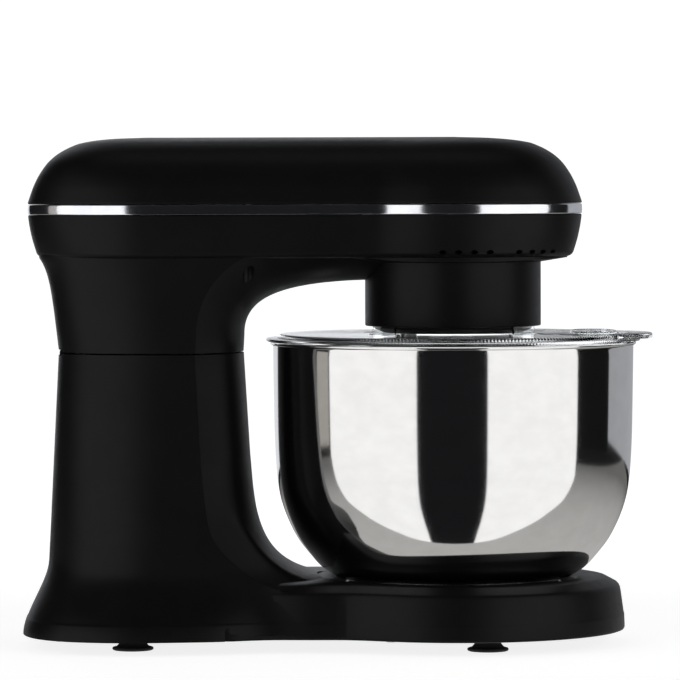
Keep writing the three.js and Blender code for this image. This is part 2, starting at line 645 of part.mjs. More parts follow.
function makeSplashLid() {
  const z = BOWL_RIM_TOP + GAP;
  const plate = turned([
    [43.4, LID_TOP - LID_THICK], [97, LID_TOP - LID_THICK], [100.4, z], [LID_R, z],
    [LID_R, z + LID_THICK], [101.4, z + LID_THICK], [98.4, LID_TOP], [43.4, LID_TOP],
    [43.4, LID_TOP - LID_THICK]], BOWL_X, 0, 36);
  const skirt = turned([
    [101.6, 171.6], [103, 171.6], [103.6, z + 0.6], [101.6, z + 0.6], [101.6, 171.6]], BOWL_X, 0, 36);
  const chuteOutline = [];
  const holeOutline = [];
  const steps = 16;
  const [chuteX, chuteLong, chuteWide, wall] = [150, LID_TAB_X - 150, 40, 2];
  for (let i = 0; i < steps; i++) {
    const [c, s] = [Math.cos(2 * Math.PI * i / steps), Math.sin(2 * Math.PI * i / steps)];
    chuteOutline.push([chuteX + chuteLong * c, chuteWide * s]);
    holeOutline.push([chuteX + (chuteLong * 0.4 - wall) * c, chuteWide * 0.72 * s]);
  }
  const tongue = prism(chuteOutline, [z + LID_THICK - 0.3, LID_TOP + 0.3]);
  const collar = prism(holeOutline.map(([x, y]) => [chuteX + (x - chuteX) * 1.16, y * 1.06]), [z, 183.4]);
  const hole = prism(holeOutline, [160, 190]);
  const hooks = [90, 210, 330].map((angle) => join(
    ringBlock(47.6, 49.1, angle, 30, [LID_TOP - 1, 191]),
    ringBlock(46.4, 50.6, angle, 34, [LID_TOP - 1.1, LID_TOP + 0.4])));
  return cut(join(plate, skirt, tongue, collar, ...hooks), hole);
}

// ---- gears --------------------------------------------------------------------------------

const PRESSURE = THREE.MathUtils.degToRad(20);
const BACKLASH = 0.16;
const involute = (angle) => Math.tan(angle) - angle;

// Half the angle that a tooth fills at radius r.
function toothHalfAngle(teeth, r, widen) {
  const pitchR = teeth * MODULE / 2;
  const baseR = pitchR * Math.cos(PRESSURE);
  const pressure = Math.acos(Math.min(baseR / r, 1));
  return Math.PI / (2 * teeth) * (1 + widen * BACKLASH) + involute(PRESSURE) - involute(pressure);
}

function gearOutline(teeth, [rootR, tipR], widen = -1, phase = 0) {
  const outline = [];
  for (let k = 0; k < teeth; k++) {
    const middle = 2 * Math.PI * (k + phase) / teeth;
    const [root, tip] = [rootR, tipR].map((r) => toothHalfAngle(teeth, r, widen));
    for (const [r, offset] of [[rootR, -root], [tipR, -tip], [tipR, tip], [rootR, root]]) {
      outline.push([r * Math.cos(middle + offset), r * Math.sin(middle + offset)]);
    }
  }
  return outline;
}

function externalGear(teeth, z, x, phase, boreR) {
  const pitchR = teeth * MODULE / 2;
  const outline = gearOutline(teeth, [pitchR - 1.2 * MODULE, pitchR + 0.85 * MODULE], -1, phase);
  const bore = Array.from({ length: 14 }, (_, i) => {
    const angle = -2 * Math.PI * i / 14;
    return [boreR * Math.cos(angle), boreR * Math.sin(angle)];
  });
  const moved = (points) => points.map(([u, v]) => [u + x, v]);
  return prism(moved(outline), z, [moved(bore)]);
}

// Internal teeth are the spaces between the teeth of a slightly wide external outline.
function makeRingGear() {
  const pitchR = RING_TEETH * MODULE / 2;
  const z = [199, DECK_BOTTOM - GAP];
  const spaces = gearOutline(RING_TEETH, [pitchR - 0.8 * MODULE, pitchR + 1.2 * MODULE], 1, 0)
    .map(([u, v]) => [u + BOWL_X, v]);
  return cut(disc(48.9, z, BOWL_X, 0, 0, 40), prism(spaces, [z[0] - 1, z[1] + 1]));
}

// ---- hub and drive ------------------------------------------------------------------------

function makeHubHousing() {
  const inner = HUB_R - 2;
  const shell = turned([
    [inner, HUB_BOTTOM], [HUB_R, HUB_BOTTOM], [HUB_R, HUB_TOP], [inner, HUB_TOP], [inner, DECK_TOP],
    [13.5, DECK_TOP], [13.5, DECK_BOTTOM], [inner, DECK_BOTTOM], [inner, HUB_BOTTOM]], BOWL_X, 0, 40);
  const ribs = [30, 90, 150, 210, 270, 330].map((degrees) => {
    const rib = new THREE.BoxGeometry(34, 2.4, 10).translate(32, 0, DECK_TOP + 4.5);
    return toSolid(rib.rotateZ(THREE.MathUtils.degToRad(degrees)).translate(BOWL_X, 0, 0));
  });
  return join(shell, ...ribs);
}

function makeBearing(x, z, innerR, outerR) {
  return disc(outerR, z, x, 0, innerR, 20);
}

function makeGearboxPlate() {
  const z = [HUB_TOP + GAP, PLATE_TOP];
  const round = disc(50, z, BOWL_X, 0, 0, 36);
  const tongue = block([8, -24, z[0]], [60, 24, z[1]]);
  const bores = [[11.3, BOWL_X], [7.3, IDLER_X]].map(([r, x]) => disc(r, [230, 250], x, 0, 0, 24));
  return cut(join(round, tongue), ...bores);
}

function makeCarrier() {
  const body = turned([
    [0, 182.5], [41, 182.5], [DISC_R, 185.5], [DISC_R, 193.6], [12, 193.6], [12, 197.6],
    [SHAFT_R + GAP, 197.6], [SHAFT_R + GAP, 186], [0, 186]], BOWL_X, 0, 40);
  return cut(body, disc(7.6, [180, 200], TOOL_X, 0, 0, 24));
}

// A shaft that steps down at its two ends.
function steppedShaft(x, r, z0, z1) {
  return turned([[0, z0], [r - 0.8, z0], [r, z0 + 1], [r, z1 - 1], [r - 0.8, z1], [0, z1]], x, 0, 20);
}

// A flat-belt pulley with two low flanges.
function makePulley(x, r, boreR) {
  const [z0, z1] = BELT_Z;
  const hubR = Math.min(boreR + 5, r - 1);
  const webbed = r > 20;
  const inner = webbed
    ? [[r - 3, z1], [r - 3, z1 - 2.5], [hubR, z1 - 2.5], [hubR, z1], [boreR, z1], [boreR, z0]]
    : [[boreR, z1], [boreR, z0]];
  return turned([[boreR, z0], [r + 1.4, z0], [r + 1.4, z0 + 1], [r, z0 + 1], [r, z1 - 1], [r + 1.4, z1 - 1],
    [r + 1.4, z1], ...inner], x, 0, webbed ? 28 : 12);
}

// The outline of a belt round both pulleys, a distance off their faces.
function beltOutline(off) {
  const tilt = Math.asin((BELT_PULLEY_R - MOTOR_PULLEY_R) / (IDLER_X - MOTOR_X));
  const around = (x, r, from, to, steps) => Array.from({ length: steps + 1 }, (_, i) => {
    const angle = lerp(from, to, i / steps);
    return [x + (r + off) * Math.cos(angle), (r + off) * Math.sin(angle)];
  });
  const side = Math.PI / 2 + tilt;
  return [
    ...around(IDLER_X, BELT_PULLEY_R, -side, side, 24),
    ...around(MOTOR_X, MOTOR_PULLEY_R, side, 2 * Math.PI - side, 12)];
}

function makeBelt() {
  const z = [BELT_Z[0] + 1.4, BELT_Z[1] - 1.4];
  const hole = prism(beltOutline(GAP), [z[0] - 1, z[1] + 1]);
  return cut(prism(beltOutline(GAP + BELT_THICK), z), hole);
}

function makeStator() {
  const tube = disc(35, [192, 238], MOTOR_X, 0, 21.6, 40);
  const flats = [[-152, -144], [-80, -72]].map(([rear, front]) => block([rear, -40, 180], [front, 40, 245]));
  const [x0, x1] = [MOTOR_X - 12, MOTOR_X + 12];
  const rails = [[-35, -25], [25, 35]].map(([y0, y1]) => block([x0, y0, 237], [x1, y1, 246.2]));
  return join(cut(tube, ...flats), ...rails);
}

function makeMotorBracket() {
  const plate = block([-140, -38, 248.3], [-72, 38, 250.8]);
  const [x0, x1] = [MOTOR_X - 10, MOTOR_X + 10];
  const legs = [[-34, -26], [26, 34]].map(([y0, y1]) => block([x0, y0, 246.5], [x1, y1, 249]));
  return cut(join(plate, ...legs), disc(9.3, [240, 260], MOTOR_X, 0, 0, 20));
}

function makeFan() {
  const hub = disc(8, [180.4, 188], MOTOR_X, 0, 4.3, 20);
  const blades = Array.from({ length: 8 }, (_, i) => {
    const blade = new THREE.BoxGeometry(22, 1.6, 7).rotateX(0.5).translate(17.6, 0, 184.2);
    return toSolid(blade.rotateZ(Math.PI / 4 * i).translate(MOTOR_X, 0, 0));
  });
  return join(hub, ...blades);
}

function makeRotorCore() {
  const core = disc(20.8, [194, 234], MOTOR_X, 0, 4.3, 36);
  const slots = Array.from({ length: 9 }, (_, i) => {
    const slot = new THREE.BoxGeometry(8, 3, 60).translate(20, 0, 214);
    return toSolid(slot.rotateZ(2 * Math.PI / 9 * i).translate(MOTOR_X, 0, 0));
  });
  return cut(core, ...slots);
}

function makeBrushHolder(side) {
  const [y0, y1] = side > 0 ? [9.4, 22] : [-22, -9.4];
  return block([MOTOR_X - 4, y0, 238.6], [MOTOR_X + 4, y1, 245.6]);
}

// ---- tool ---------------------------------------------------------------------------------

const BEATER_TOP = 168;
const PIN_Z = 163;

function makeBeater() {
  const paddle = new THREE.Shape();
  paddle.moveTo(-5, 146);
  paddle.lineTo(-30, 134);
  paddle.quadraticCurveTo(-43, 127, -43, 112);
  paddle.lineTo(-43, 88);
  paddle.quadraticCurveTo(-42, 48, 0, 44.5);
  paddle.quadraticCurveTo(42, 48, 43, 88);
  paddle.lineTo(43, 112);
  paddle.quadraticCurveTo(43, 127, 30, 134);
  paddle.lineTo(5, 146);
  for (const side of [-1, 1]) {
    const window = new THREE.Path();
    window.moveTo(side * 4.5, 54.5);
    window.quadraticCurveTo(side * 34, 58, side * 35, 88);
    window.lineTo(side * 35, 96);
    window.lineTo(side * 4.5, 76);
    window.closePath();
    const upper = new THREE.Path();
    upper.moveTo(side * 4.5, 86);
    upper.lineTo(side * 35, 106);
    upper.lineTo(side * 35, 112);
    upper.quadraticCurveTo(side * 35, 123, side * 26, 127.5);
    upper.lineTo(side * 4.5, 137);
    upper.closePath();
    paddle.holes.push(window, upper);
  }
  const extruded = new THREE.ExtrudeGeometry(paddle, { depth: 7, bevelEnabled: false, curveSegments: 6 });
  const blade = toSolid(extruded.rotateX(Math.PI / 2).translate(TOOL_X, 3.5, 0));
  const socket = disc(9.5, [140, BEATER_TOP], TOOL_X, 0, 0, 24);
  const bore = disc(4.9, [145, BEATER_TOP + 1], TOOL_X, 0, 0, 20);
  const slot = block([TOOL_X - 12, -1.9, PIN_Z - 2.2], [TOOL_X + 12, 1.9, BEATER_TOP + 1]);
  return cut(join(blade, socket), bore, slot);
}

function makeToolShaft() {
  const shaft = steppedShaft(TOOL_X, 4.6, 147, 213 - 1.6);
  return cut(shaft, rod('x', 1.8, TOOL_X - 20, TOOL_X + 20, [0, PIN_Z], 12));
}

// ---- controls -----------------------------------------------------------------------------

function makeKnob() {
  const points = [[0, 0], [KNOB_R - 1, 0], [KNOB_R, 1.5], [KNOB_R - 1.4, 13], [KNOB_R - 3, 14.5], [0, 14.5]];
  const profile = points.map(([r, z]) => new THREE.Vector2(r, z));
  const body = toSolid(new THREE.LatheGeometry(profile, 28).translate(KNOB_X, KNOB_SEAT_Y + 1, KNOB_Z));
  const grips = Array.from({ length: 14 }, (_, i) => {
    const angle = 2 * Math.PI * i / 14;
    const [x, z] = [KNOB_X + (KNOB_R + 0.4) * Math.cos(angle), KNOB_Z + (KNOB_R + 0.4) * Math.sin(angle)];
    return rod('y', 1.6, KNOB_SEAT_Y + 4.4, KNOB_SEAT_Y + 18, [x, z], 6);
  });
  return cut(body, ...grips, rod('y', 3.3, KNOB_SEAT_Y, KNOB_SEAT_Y + 9.4, [KNOB_X, KNOB_Z], 16));
}

function makeKnobBezel() {
  const ring = rod('y', BEZEL_R, KNOB_SEAT_Y + GAP, KNOB_SEAT_Y + 4, [KNOB_X, KNOB_Z], 32);
  return cut(ring, rod('y', KNOB_R + 0.9, KNOB_SEAT_Y - 5, KNOB_SEAT_Y + 5, [KNOB_X, KNOB_Z], 32));
}

function makeSpeedSwitch() {
  const body = block([KNOB_X - 15, 31, KNOB_Z - 15], [KNOB_X + 15, 45.6, KNOB_Z + 15]);
  return join(body, rod('y', 3, 45, KNOB_SEAT_Y + 8, [KNOB_X, KNOB_Z], 16));
}

function makeControlBoard() {
  const board = block([-146, 28.2, 62], [-78, 30, 128]);
  const parts = [
    [[-142, 12, 66], [-124, 28.6, 84]], [[-118, 16, 66], [-104, 28.6, 78]],
    [[-98, 20, 100], [-84, 28.6, 122]], [[-140, 18, 96], [-128, 28.6, 120]]];
  return join(board, ...parts.map(([low, high]) => block(low, high)));
}

function makeReleaseButton() {
  const outline = new THREE.Shape();
  const [w, h] = BUTTON_HALF;
  const r = 4;
  outline.moveTo(-w + r, -h);
  outline.lineTo(w - r, -h);
  outline.quadraticCurveTo(w, -h, w, -h + r);
  outline.lineTo(w, h - r);
  outline.quadraticCurveTo(w, h, w - r, h);
  outline.lineTo(-w + r, h);
  outline.quadraticCurveTo(-w, h, -w, h - r);
  outline.lineTo(-w, -h + r);
  outline.quadraticCurveTo(-w, -h, -w + r, -h);
  const cap = new THREE.ExtrudeGeometry(outline, {
    depth: 13, bevelEnabled: true, bevelSize: 0.8, bevelThickness: 0.8, bevelOffset: -0.8, bevelSegments: 1,
    curveSegments: 3,
  });
  const solid = toSolid(cap.rotateX(Math.PI / 2).translate(BUTTON_X, BUTTON_FACE_Y, BUTTON_Z));
  const stem = block([BUTTON_X - 4, 22, BUTTON_Z - 3], [BUTTON_X + 4, 48, BUTTON_Z + 3]);
  return join(solid, stem);
}

function makeLatchTongue() {
  const arm = block([BUTTON_X - 5, 8, BUTTON_Z - 1.2], [-64, 21.7, BUTTON_Z + 1.2]);
  return cut(arm, block([-86, 0, BUTTON_Z - 3], [-64 - 6, 16, BUTTON_Z + 3]));
}

function makeLatchSpring() {
  const turns = 4;
  class Helix extends THREE.Curve {
    getPoint(t) {
      const angle = 2 * Math.PI * turns * t;
      const [x, z] = [BUTTON_X + 6.6 * Math.cos(angle), BUTTON_Z + 6.6 * Math.sin(angle)];
      return new THREE.Vector3(x, lerp(28, 43.5, t), z);
    }
  }
  const wire = new THREE.Shape(Array.from({ length: 5 }, (_, i) => {
    const angle = 2 * Math.PI / 5 * i;
    return new THREE.Vector2(0.6 * Math.cos(angle), 0.6 * Math.sin(angle));
  }));
  const path = { steps: turns * 8, extrudePath: new Helix(), bevelEnabled: false };
  return toSolid(new THREE.ExtrudeGeometry(wire, path));
}

function makeLatchHook() {
  const plate = block([-80, -6, 175.9], [-70, 6, 178.4]);
  const leg = block([-77, -5, 152], [-73, 5, 177]);
  const nose = block([-77, -5, 152], [-69.6, 5, 155]);
  return join(plate, leg, nose);
}

function makeCordGland() {
  const x = -176.5;
  return cut(rod('x', 6, x, -164, GLAND_SPOT, 20), rod('x', 3.6, x - 5, -150, GLAND_SPOT, 16));
}

// ---- the assembly -------------------------------------------------------------------------

const group = new THREE.Group();

function add(name, solid, look) {
  const mesh = new THREE.Mesh(toGeometry(solid), new THREE.MeshStandardMaterial(look));
  mesh.name = name;
  group.add(mesh);
}

add('base_housing', makeBaseHousing(), BLACK);
add('base_plate', makeBasePlate(), DARK);
for (const [place, [x, y]] of Object.entries(FOOT_SPOTS)) {
  add(`foot_${place}_near`, makeFoot([x, -y]), RUBBER);
  add(`foot_${place}_far`, makeFoot([x, y]), RUBBER);
}
BASE_SCREWS.forEach((spot, i) => add(`base_screw_${i + 1}`, makeScrew(spot, BASE_BOTTOM, 22), STEEL));
add('bowl_clamp_plate', makeClampPlate(), STEEL);
add('hinge_pin', rod('y', HINGE_PIN_R, -HINGE_PIN_HALF, HINGE_PIN_HALF, [HINGE_X, SEAM_Z], 16), STEEL);
add('cord_gland', makeCordGland(), RUBBER);
add('control_board', makeControlBoard(), GREEN);
add('speed_switch', makeSpeedSwitch(), DARK);
add('knob_bezel', makeKnobBezel(), CHROME);
add('speed_knob', makeKnob(), BLACK);
add('release_button', makeReleaseButton(), BLACK);
add('latch_tongue', makeLatchTongue(), STEEL);
add('latch_spring', makeLatchSpring(), STEEL);

add('head_cover', makeHeadCover(), BLACK);
add('trim_band', makeTrimBand(), CHROME);
add('head_housing', makeHeadHousing(), BLACK);
COVER_SCREWS.forEach((spot, i) => add(`cover_screw_${i + 1}`, makeScrew(spot, 245.6, 270), STEEL));
add('latch_hook', makeLatchHook(), STEEL);
add('hub_housing', makeHubHousing(), BLACK);
add('ring_gear', makeRingGear(), STEEL);
add('spindle_bearing_lower', makeBearing(BOWL_X, [DECK_BOTTOM, DECK_TOP], SHAFT_R + GAP, 13.1), BRASS);
add('gearbox_plate', makeGearboxPlate(), ALLOY);
add('spindle_bearing_upper', makeBearing(BOWL_X, [HUB_TOP + GAP, PLATE_TOP], SHAFT_R + GAP, 11), BRASS);
add('idler_bearing', makeBearing(IDLER_X, [HUB_TOP + GAP, PLATE_TOP], 4.3, 7), BRASS);
add('motor_stator', makeStator(), ALLOY);
add('motor_bracket', makeMotorBracket(), STEEL);
add('motor_bearing', makeBearing(MOTOR_X, [248.3, 250.8], 4.3, 9), BRASS);
add('brush_holder_near', makeBrushHolder(-1), DARK);
add('brush_holder_far', makeBrushHolder(1), DARK);
add('drive_belt', makeBelt(), RUBBER);

add('rotor_core', makeRotorCore(), COPPER);
add('motor_shaft', steppedShaft(MOTOR_X, 4, 179, 271), STEEL);
add('commutator', disc(9, [237, 246], MOTOR_X, 0, 4.3, 24), BRASS);
add('motor_fan', makeFan(), DARK);
add('motor_pulley', makePulley(MOTOR_X, MOTOR_PULLEY_R, 4.3), ALLOY);

add('idler_shaft', steppedShaft(IDLER_X, 4, HUB_TOP - 2, 271), STEEL);
add('idler_pinion', externalGear(IDLER_TEETH, [GEAR_Z[0] - 1, GEAR_Z[1] + 1], IDLER_X, 0.5, 4.3), STEEL);
add('belt_pulley', makePulley(IDLER_X, BELT_PULLEY_R, 4.3), NYLON);

add('planet_carrier', makeCarrier(), DARK);
add('central_shaft', steppedShaft(BOWL_X, SHAFT_R, 186.4, GEAR_Z[1] + 2), STEEL);
add('main_gear', externalGear(MAIN_TEETH, GEAR_Z, BOWL_X, 0, SHAFT_R + GAP), NYLON);
add('tool_bush', makeBearing(TOOL_X, [182.9, 193.4], 4.9, 7.3), BRASS);

add('tool_shaft', makeToolShaft(), STEEL);
add('tool_pinion', externalGear(TOOL_TEETH, [200, 210], TOOL_X, 0, 4.9), STEEL);
add('drive_pin', rod('x', 1.5, TOOL_X - 8.5, TOOL_X + 8.5, [0, PIN_Z], 12), STEEL);
add('flat_beater', makeBeater(), ALLOY);

add('bowl', makeBowl(), STEEL);
add('bowl_foot', makeBowlFoot(), STEEL);
add('splash_lid', makeSplashLid(), CLEAR);

export default group;
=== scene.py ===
import json
import math

import bmesh
import bpy
from mathutils import Matrix, Vector


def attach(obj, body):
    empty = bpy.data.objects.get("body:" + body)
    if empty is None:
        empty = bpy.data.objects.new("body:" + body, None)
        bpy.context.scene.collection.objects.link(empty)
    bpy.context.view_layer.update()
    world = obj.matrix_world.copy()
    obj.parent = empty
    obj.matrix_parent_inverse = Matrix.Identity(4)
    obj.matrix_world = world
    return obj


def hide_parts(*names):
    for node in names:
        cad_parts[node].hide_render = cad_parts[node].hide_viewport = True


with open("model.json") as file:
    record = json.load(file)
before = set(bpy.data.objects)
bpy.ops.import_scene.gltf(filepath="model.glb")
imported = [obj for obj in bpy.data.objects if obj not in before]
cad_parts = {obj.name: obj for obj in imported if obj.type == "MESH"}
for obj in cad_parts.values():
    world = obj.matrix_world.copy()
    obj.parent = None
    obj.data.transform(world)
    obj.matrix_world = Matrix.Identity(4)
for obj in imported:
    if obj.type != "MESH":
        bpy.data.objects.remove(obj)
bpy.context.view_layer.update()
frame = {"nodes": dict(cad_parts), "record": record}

MM = 0.001

# ---- driving dimensions, in millimetres ---------------------------------------------------
# They are the same as the solids', apart from RIM_TOP, CLIP_NOTCH, LIP_DEPTH and COLUMN_LINE.

BOWL_X = 67.5
GAP = 0.3
WALL = 2.8
THIRDS = (90, 210, 330)

HEAD_REAR = -182.3
HEAD_FRONT = 143.4
HEAD_REAR_LENGTH = 70
HEAD_REAR_HALF = 57
HEAD_WAIST_HALF = 55
HEAD_BULGE_HALF = 63
HEAD_BULGE_REACH = 75.9
HEAD_BLEND = 6
HEAD_WAIST_X = 10
HEAD_SPINE = (HEAD_REAR + HEAD_REAR_LENGTH, BOWL_X)

TRAY_BOTTOM = 227
BAND_BOTTOM = 252.3
BAND_TOP = 258
HEAD_TOP = 297.3

SEAM_Z = 171.5
NECK_TOP_HALF = 48.5
NECK_REAR_X = -164.3
NECK_REAR_SLOPE = 0.115
NECK_REAR_FLARE = 5.1
NECK_FLARE_HEIGHT = 8.5
HINGE_X = -159.5
KNUCKLE_R = 3.6
KNUCKLE_RELIEF = 4.1
KNUCKLE_HALF = 8.5
KNUCKLE_END = 17
NOTCH_HALF = 24.5
HINGE_PIN_R = 2
HINGE_PIN_HALF = 15.2

COLUMN_CENTRE_X = -97.5
COLUMN_TOP_HALF = 51.5
COLUMN_SPREAD = 17
COLUMN_FOOT_SPREAD = 23.5
COLUMN_TAPER = 0.66
COLUMN_TAPER_X = (-130, -5)
COLUMN_REAR_X = -164.6
COLUMN_REAR_TOP = 167
COLUMN_REAR_SLOPE = 0.05
COLUMN_REAR_FLARE = 12.7
FOOT_TOP = 50
LIP_DEPTH = 0.3
LIP_RISE = (16.9, 18.5)
LIP_FADE = (20, 40)

BASE_BOTTOM = 8
RIM_TOP = 39.6
CLIP_NOTCH = (-62, 10.6)
CLIP_NOTCH_HALF = (3.3, 5)
BASE_R = 97
BASE_CENTRE_X = 71.3
BASE_REAR_HALF = 70
BASE_WAIST_HALF = 76.8
BASE_REAR_X = -150
BASE_REAR_LENGTH = 30
BASE_WAIST_X = (-60, -14)
BASE_BLEND = 12
BASE_SPINE = (BASE_REAR_X + BASE_REAR_LENGTH, BASE_CENTRE_X)
SEAT_R = 79
SEAT_FLOOR = 28

HUB_R = 51.7
HUB_BOTTOM = 186.5
HUB_TOP = 240
DISC_R = 46.8

BOWL_BEAD_R = 107.6
BOWL_RIM_TOP = 177.4
LID_R = 110
LID_TOP = 181.8
LID_TAB_X = 184.6

KNOB = (-110, 96)
KNOB_R = 21
KNOB_SEAT_Y = 57.6
BUTTON = (-104, 148)
BUTTON_HALF = (14, 7)
BUTTON_CORNER = 4
GLAND = (22, 27)
GLAND_R = 6
COVER_SCREWS = [(-146, 24), (-146, -24), (-52, 40), (-52, -40)]
FOOT_SPOTS = {"rear": (-119.6, 46.5), "front": (86, 58)}
BASE_SCREWS = [(-161, 56), (-161, -56), (30, 66), (30, -66)]
TOOL_X = 41.5
WIRE_HOLE = (-135, 0)
WIRE_HOLE_R = 5
TABLE_FRONT = -128

# Cutters reach these planes, which are clear of the object's rear and far side.
BEHIND = -190
BEYOND = 90


# ---- small maths --------------------------------------------------------------------------

def lerp(a, b, t):
    return a + (b - a) * t


def clamp(x, low, high):
    return max(low, min(high, x))


def smoothstep(x, low, high):
    t = clamp((x - low) / (high - low), 0, 1)
    return t * t * (3 - 2 * t)


def smooth_max(a, b, blend):
    near = max(blend - abs(a - b), 0) / blend
    return max(a, b) + near * near * blend / 4


def spline(points, steps):
    """A Catmull-Rom curve through a few points, with steps pieces between each two."""
    ends = [[2 * a - b for a, b in zip(points[0], points[1])]]
    tail = [[2 * a - b for a, b in zip(points[-1], points[-2])]]
    p = ends + [list(q) for q in points] + tail
    out = []
    for i in range(1, len(p) - 2):
        for k in range(steps):
            t = k / steps
            out.append([
                0.5 * (2 * b + (c - a) * t + (2 * a - 5 * b + 4 * c - d) * t * t
                       + (3 * b - a - 3 * c + d) * t ** 3)
                for a, b, c, d in zip(p[i - 1], p[i], p[i + 1], p[i + 2])])
    out.append(list(points[-1]))
    return out


def bezier(p, t):
    s = 1 - t
    point = [s ** 3 * a + 3 * s * s * t * b + 3 * s * t * t * c + t ** 3 * d for a, b, c, d in zip(*p)]
    slope = [3 * s * s * (b - a) + 6 * s * t * (c - b) + 3 * t * t * (d - c) for a, b, c, d in zip(*p)]
    length = math.hypot(*slope)
    return point, [slope[0] / length, slope[1] / length]


def arc(centre, r, start, end, steps):
    """Points of [radius, z] on a round corner, angles in degrees."""
    out = []
    for i in range(steps + 1):
        a = math.radians(lerp(start, end, i / steps))
        out.append([centre[0] + r * math.cos(a), centre[1] + r * math.sin(a)])
    return out


# ---- mesh making --------------------------------------------------------------------------

def new_object(name, verts, faces):
    """A mesh object from points in millimetres."""
    mesh = bpy.data.meshes.new(name)
    mesh.from_pydata([[c * MM for c in v] for v in verts], [], faces)
    mesh.update()
    obj = bpy.data.objects.new(name, mesh)
    bpy.context.scene.collection.objects.link(obj)
    tidy_mesh(obj)
    return obj


def tidy_mesh(obj):
    bm = bmesh.new()
    bm.from_mesh(obj.data)
    bmesh.ops.remove_doubles(bm, verts=bm.verts, dist=1e-6)
    bmesh.ops.recalc_face_normals(bm, faces=bm.faces)
    bm.to_mesh(obj.data)
    bm.free()


def loft(name, rings):
    """A skin over matching closed rings, with a flat face at each end."""
    count = len(rings[0])
    verts = [v for ring in rings for v in ring]
    faces = [list(reversed(range(count))), [len(verts) - count + i for i in range(count)]]
    for j in range(len(rings) - 1):
        for i in range(count):
            a, b = j * count + i, j * count + (i + 1) % count
            faces.append([a, b, b + count, a + count])
    return new_object(name, verts, faces)


def loop_loft(name, rings):
    """A skin over matching closed rings, where the last ring meets the first one."""
    count, total = len(rings[0]), len(rings)
    verts = [v for ring in rings for v in ring]
    faces = []
    for j in range(total):
        for i in range(count):
            a, b = j * count + i, j * count + (i + 1) % count
            c, d = (j + 1) % total * count + (i + 1) % count, (j + 1) % total * count + i
            faces.append([a, b, c, d])
    return new_object(name, verts, faces)


def turned(name, profile, centre=(0, 0), steps=128, closed=False):
    """A profile of [radius, z] points turned about a vertical line."""
    verts, faces, rows = [], [], []
    for r, z in profile:
        if r < 1e-6:
            verts.append([centre[0], centre[1], z])
            rows.append([len(verts) - 1] * steps)
            continue
        row = []
        for i in range(steps):
            a = 2 * math.pi * i / steps
            verts.append([centre[0] + r * math.cos(a), centre[1] + r * math.sin(a), z])
            row.append(len(verts) - 1)
        rows.append(row)
    pairs = list(zip(rows, rows[1:])) + ([(rows[-1], rows[0])] if closed else [])
    for low, high in pairs:
        for i in range(steps):
            k = (i + 1) % steps
            corners = []
            for v in (low[i], low[k], high[k], high[i]):
                if v not in corners:
                    corners.append(v)
            if len(corners) > 2:
                faces.append(corners)
    return new_object(name, verts, faces)


def box(name, low, high):
    xs, ys, zs = zip(low, high)
    verts = [[x, y, z] for x in xs for y in ys for z in zs]
    faces = [[0, 1, 3, 2], [4, 6, 7, 5], [0, 4, 5, 1], [2, 3, 7, 6], [0, 2, 6, 4], [1, 5, 7, 3]]
    return new_object(name, verts, faces)


def prism(name, outline, low, high, axis=2):
    """An outline in the two other axes, drawn out along one axis between two heights."""
    def place(u, v, w):
        return [(w, u, v), (u, w, v), (u, v, w)][axis]
    return loft(name, [[place(u, v, w) for u, v in outline] for w in (low, high)])


def rod(name, axis, r, low, high, at, steps=64):
    outline = []
    for i in range(steps):
        a = 2 * math.pi * i / steps
        outline.append((at[0] + r * math.cos(a), at[1] + r * math.sin(a)))
    return prism(name, outline, low, high, axis)


def bake_modifiers(obj):
    graph = bpy.context.evaluated_depsgraph_get()
    mesh = bpy.data.meshes.new_from_object(obj.evaluated_get(graph))
    obj.modifiers.clear()
    obj.data = mesh


def combine(target, operation, *tools):
    """A boolean of target with each tool in turn. The tools are used up."""
    for tool in tools:
        modifier = target.modifiers.new("combine", "BOOLEAN")
        modifier.operation = operation
        modifier.solver = "MANIFOLD"
        modifier.object = tool
        bake_modifiers(target)
        bpy.data.objects.remove(tool)
    return target


def cut(target, *tools):
    return combine(target, "DIFFERENCE", *tools)


def join(target, *tools):
    return combine(target, "UNION", *tools)


def keep_common(target, tool):
    return combine(target, "INTERSECT", tool)


def soften(obj, width, angle=35, segments=2):
    """Rounds the sharp edges by width millimetres."""
    bevel = obj.modifiers.new("bevel", "BEVEL")
    bevel.width = width * MM
    bevel.segments = segments
    bevel.limit_method = "ANGLE"
    bevel.angle_limit = math.radians(angle)
    bevel.harden_normals = False
    bake_modifiers(obj)
    return obj


def shade(obj, angle=30):
    obj.data.shade_smooth()
    obj.data.set_sharp_from_angle(angle=math.radians(angle))


def weigh_normals(obj):
    """Faces of a large area set the shading near the cuts."""
    modifier = obj.modifiers.new("normals", "WEIGHTED_NORMAL")
    modifier.keep_sharp = True
    modifier.weight = 90


def place(obj, body, material, slot, *nodes, angle=30):
    """Gives a finished piece its shading, finish, body and the solids it stands for."""
    shade(obj, angle)
    obj.data.materials.clear()
    obj.data.materials.append(material)
    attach(obj, body)
    if nodes:
        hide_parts(*nodes)
    return obj


# ---- materials ----------------------------------------------------------------------------

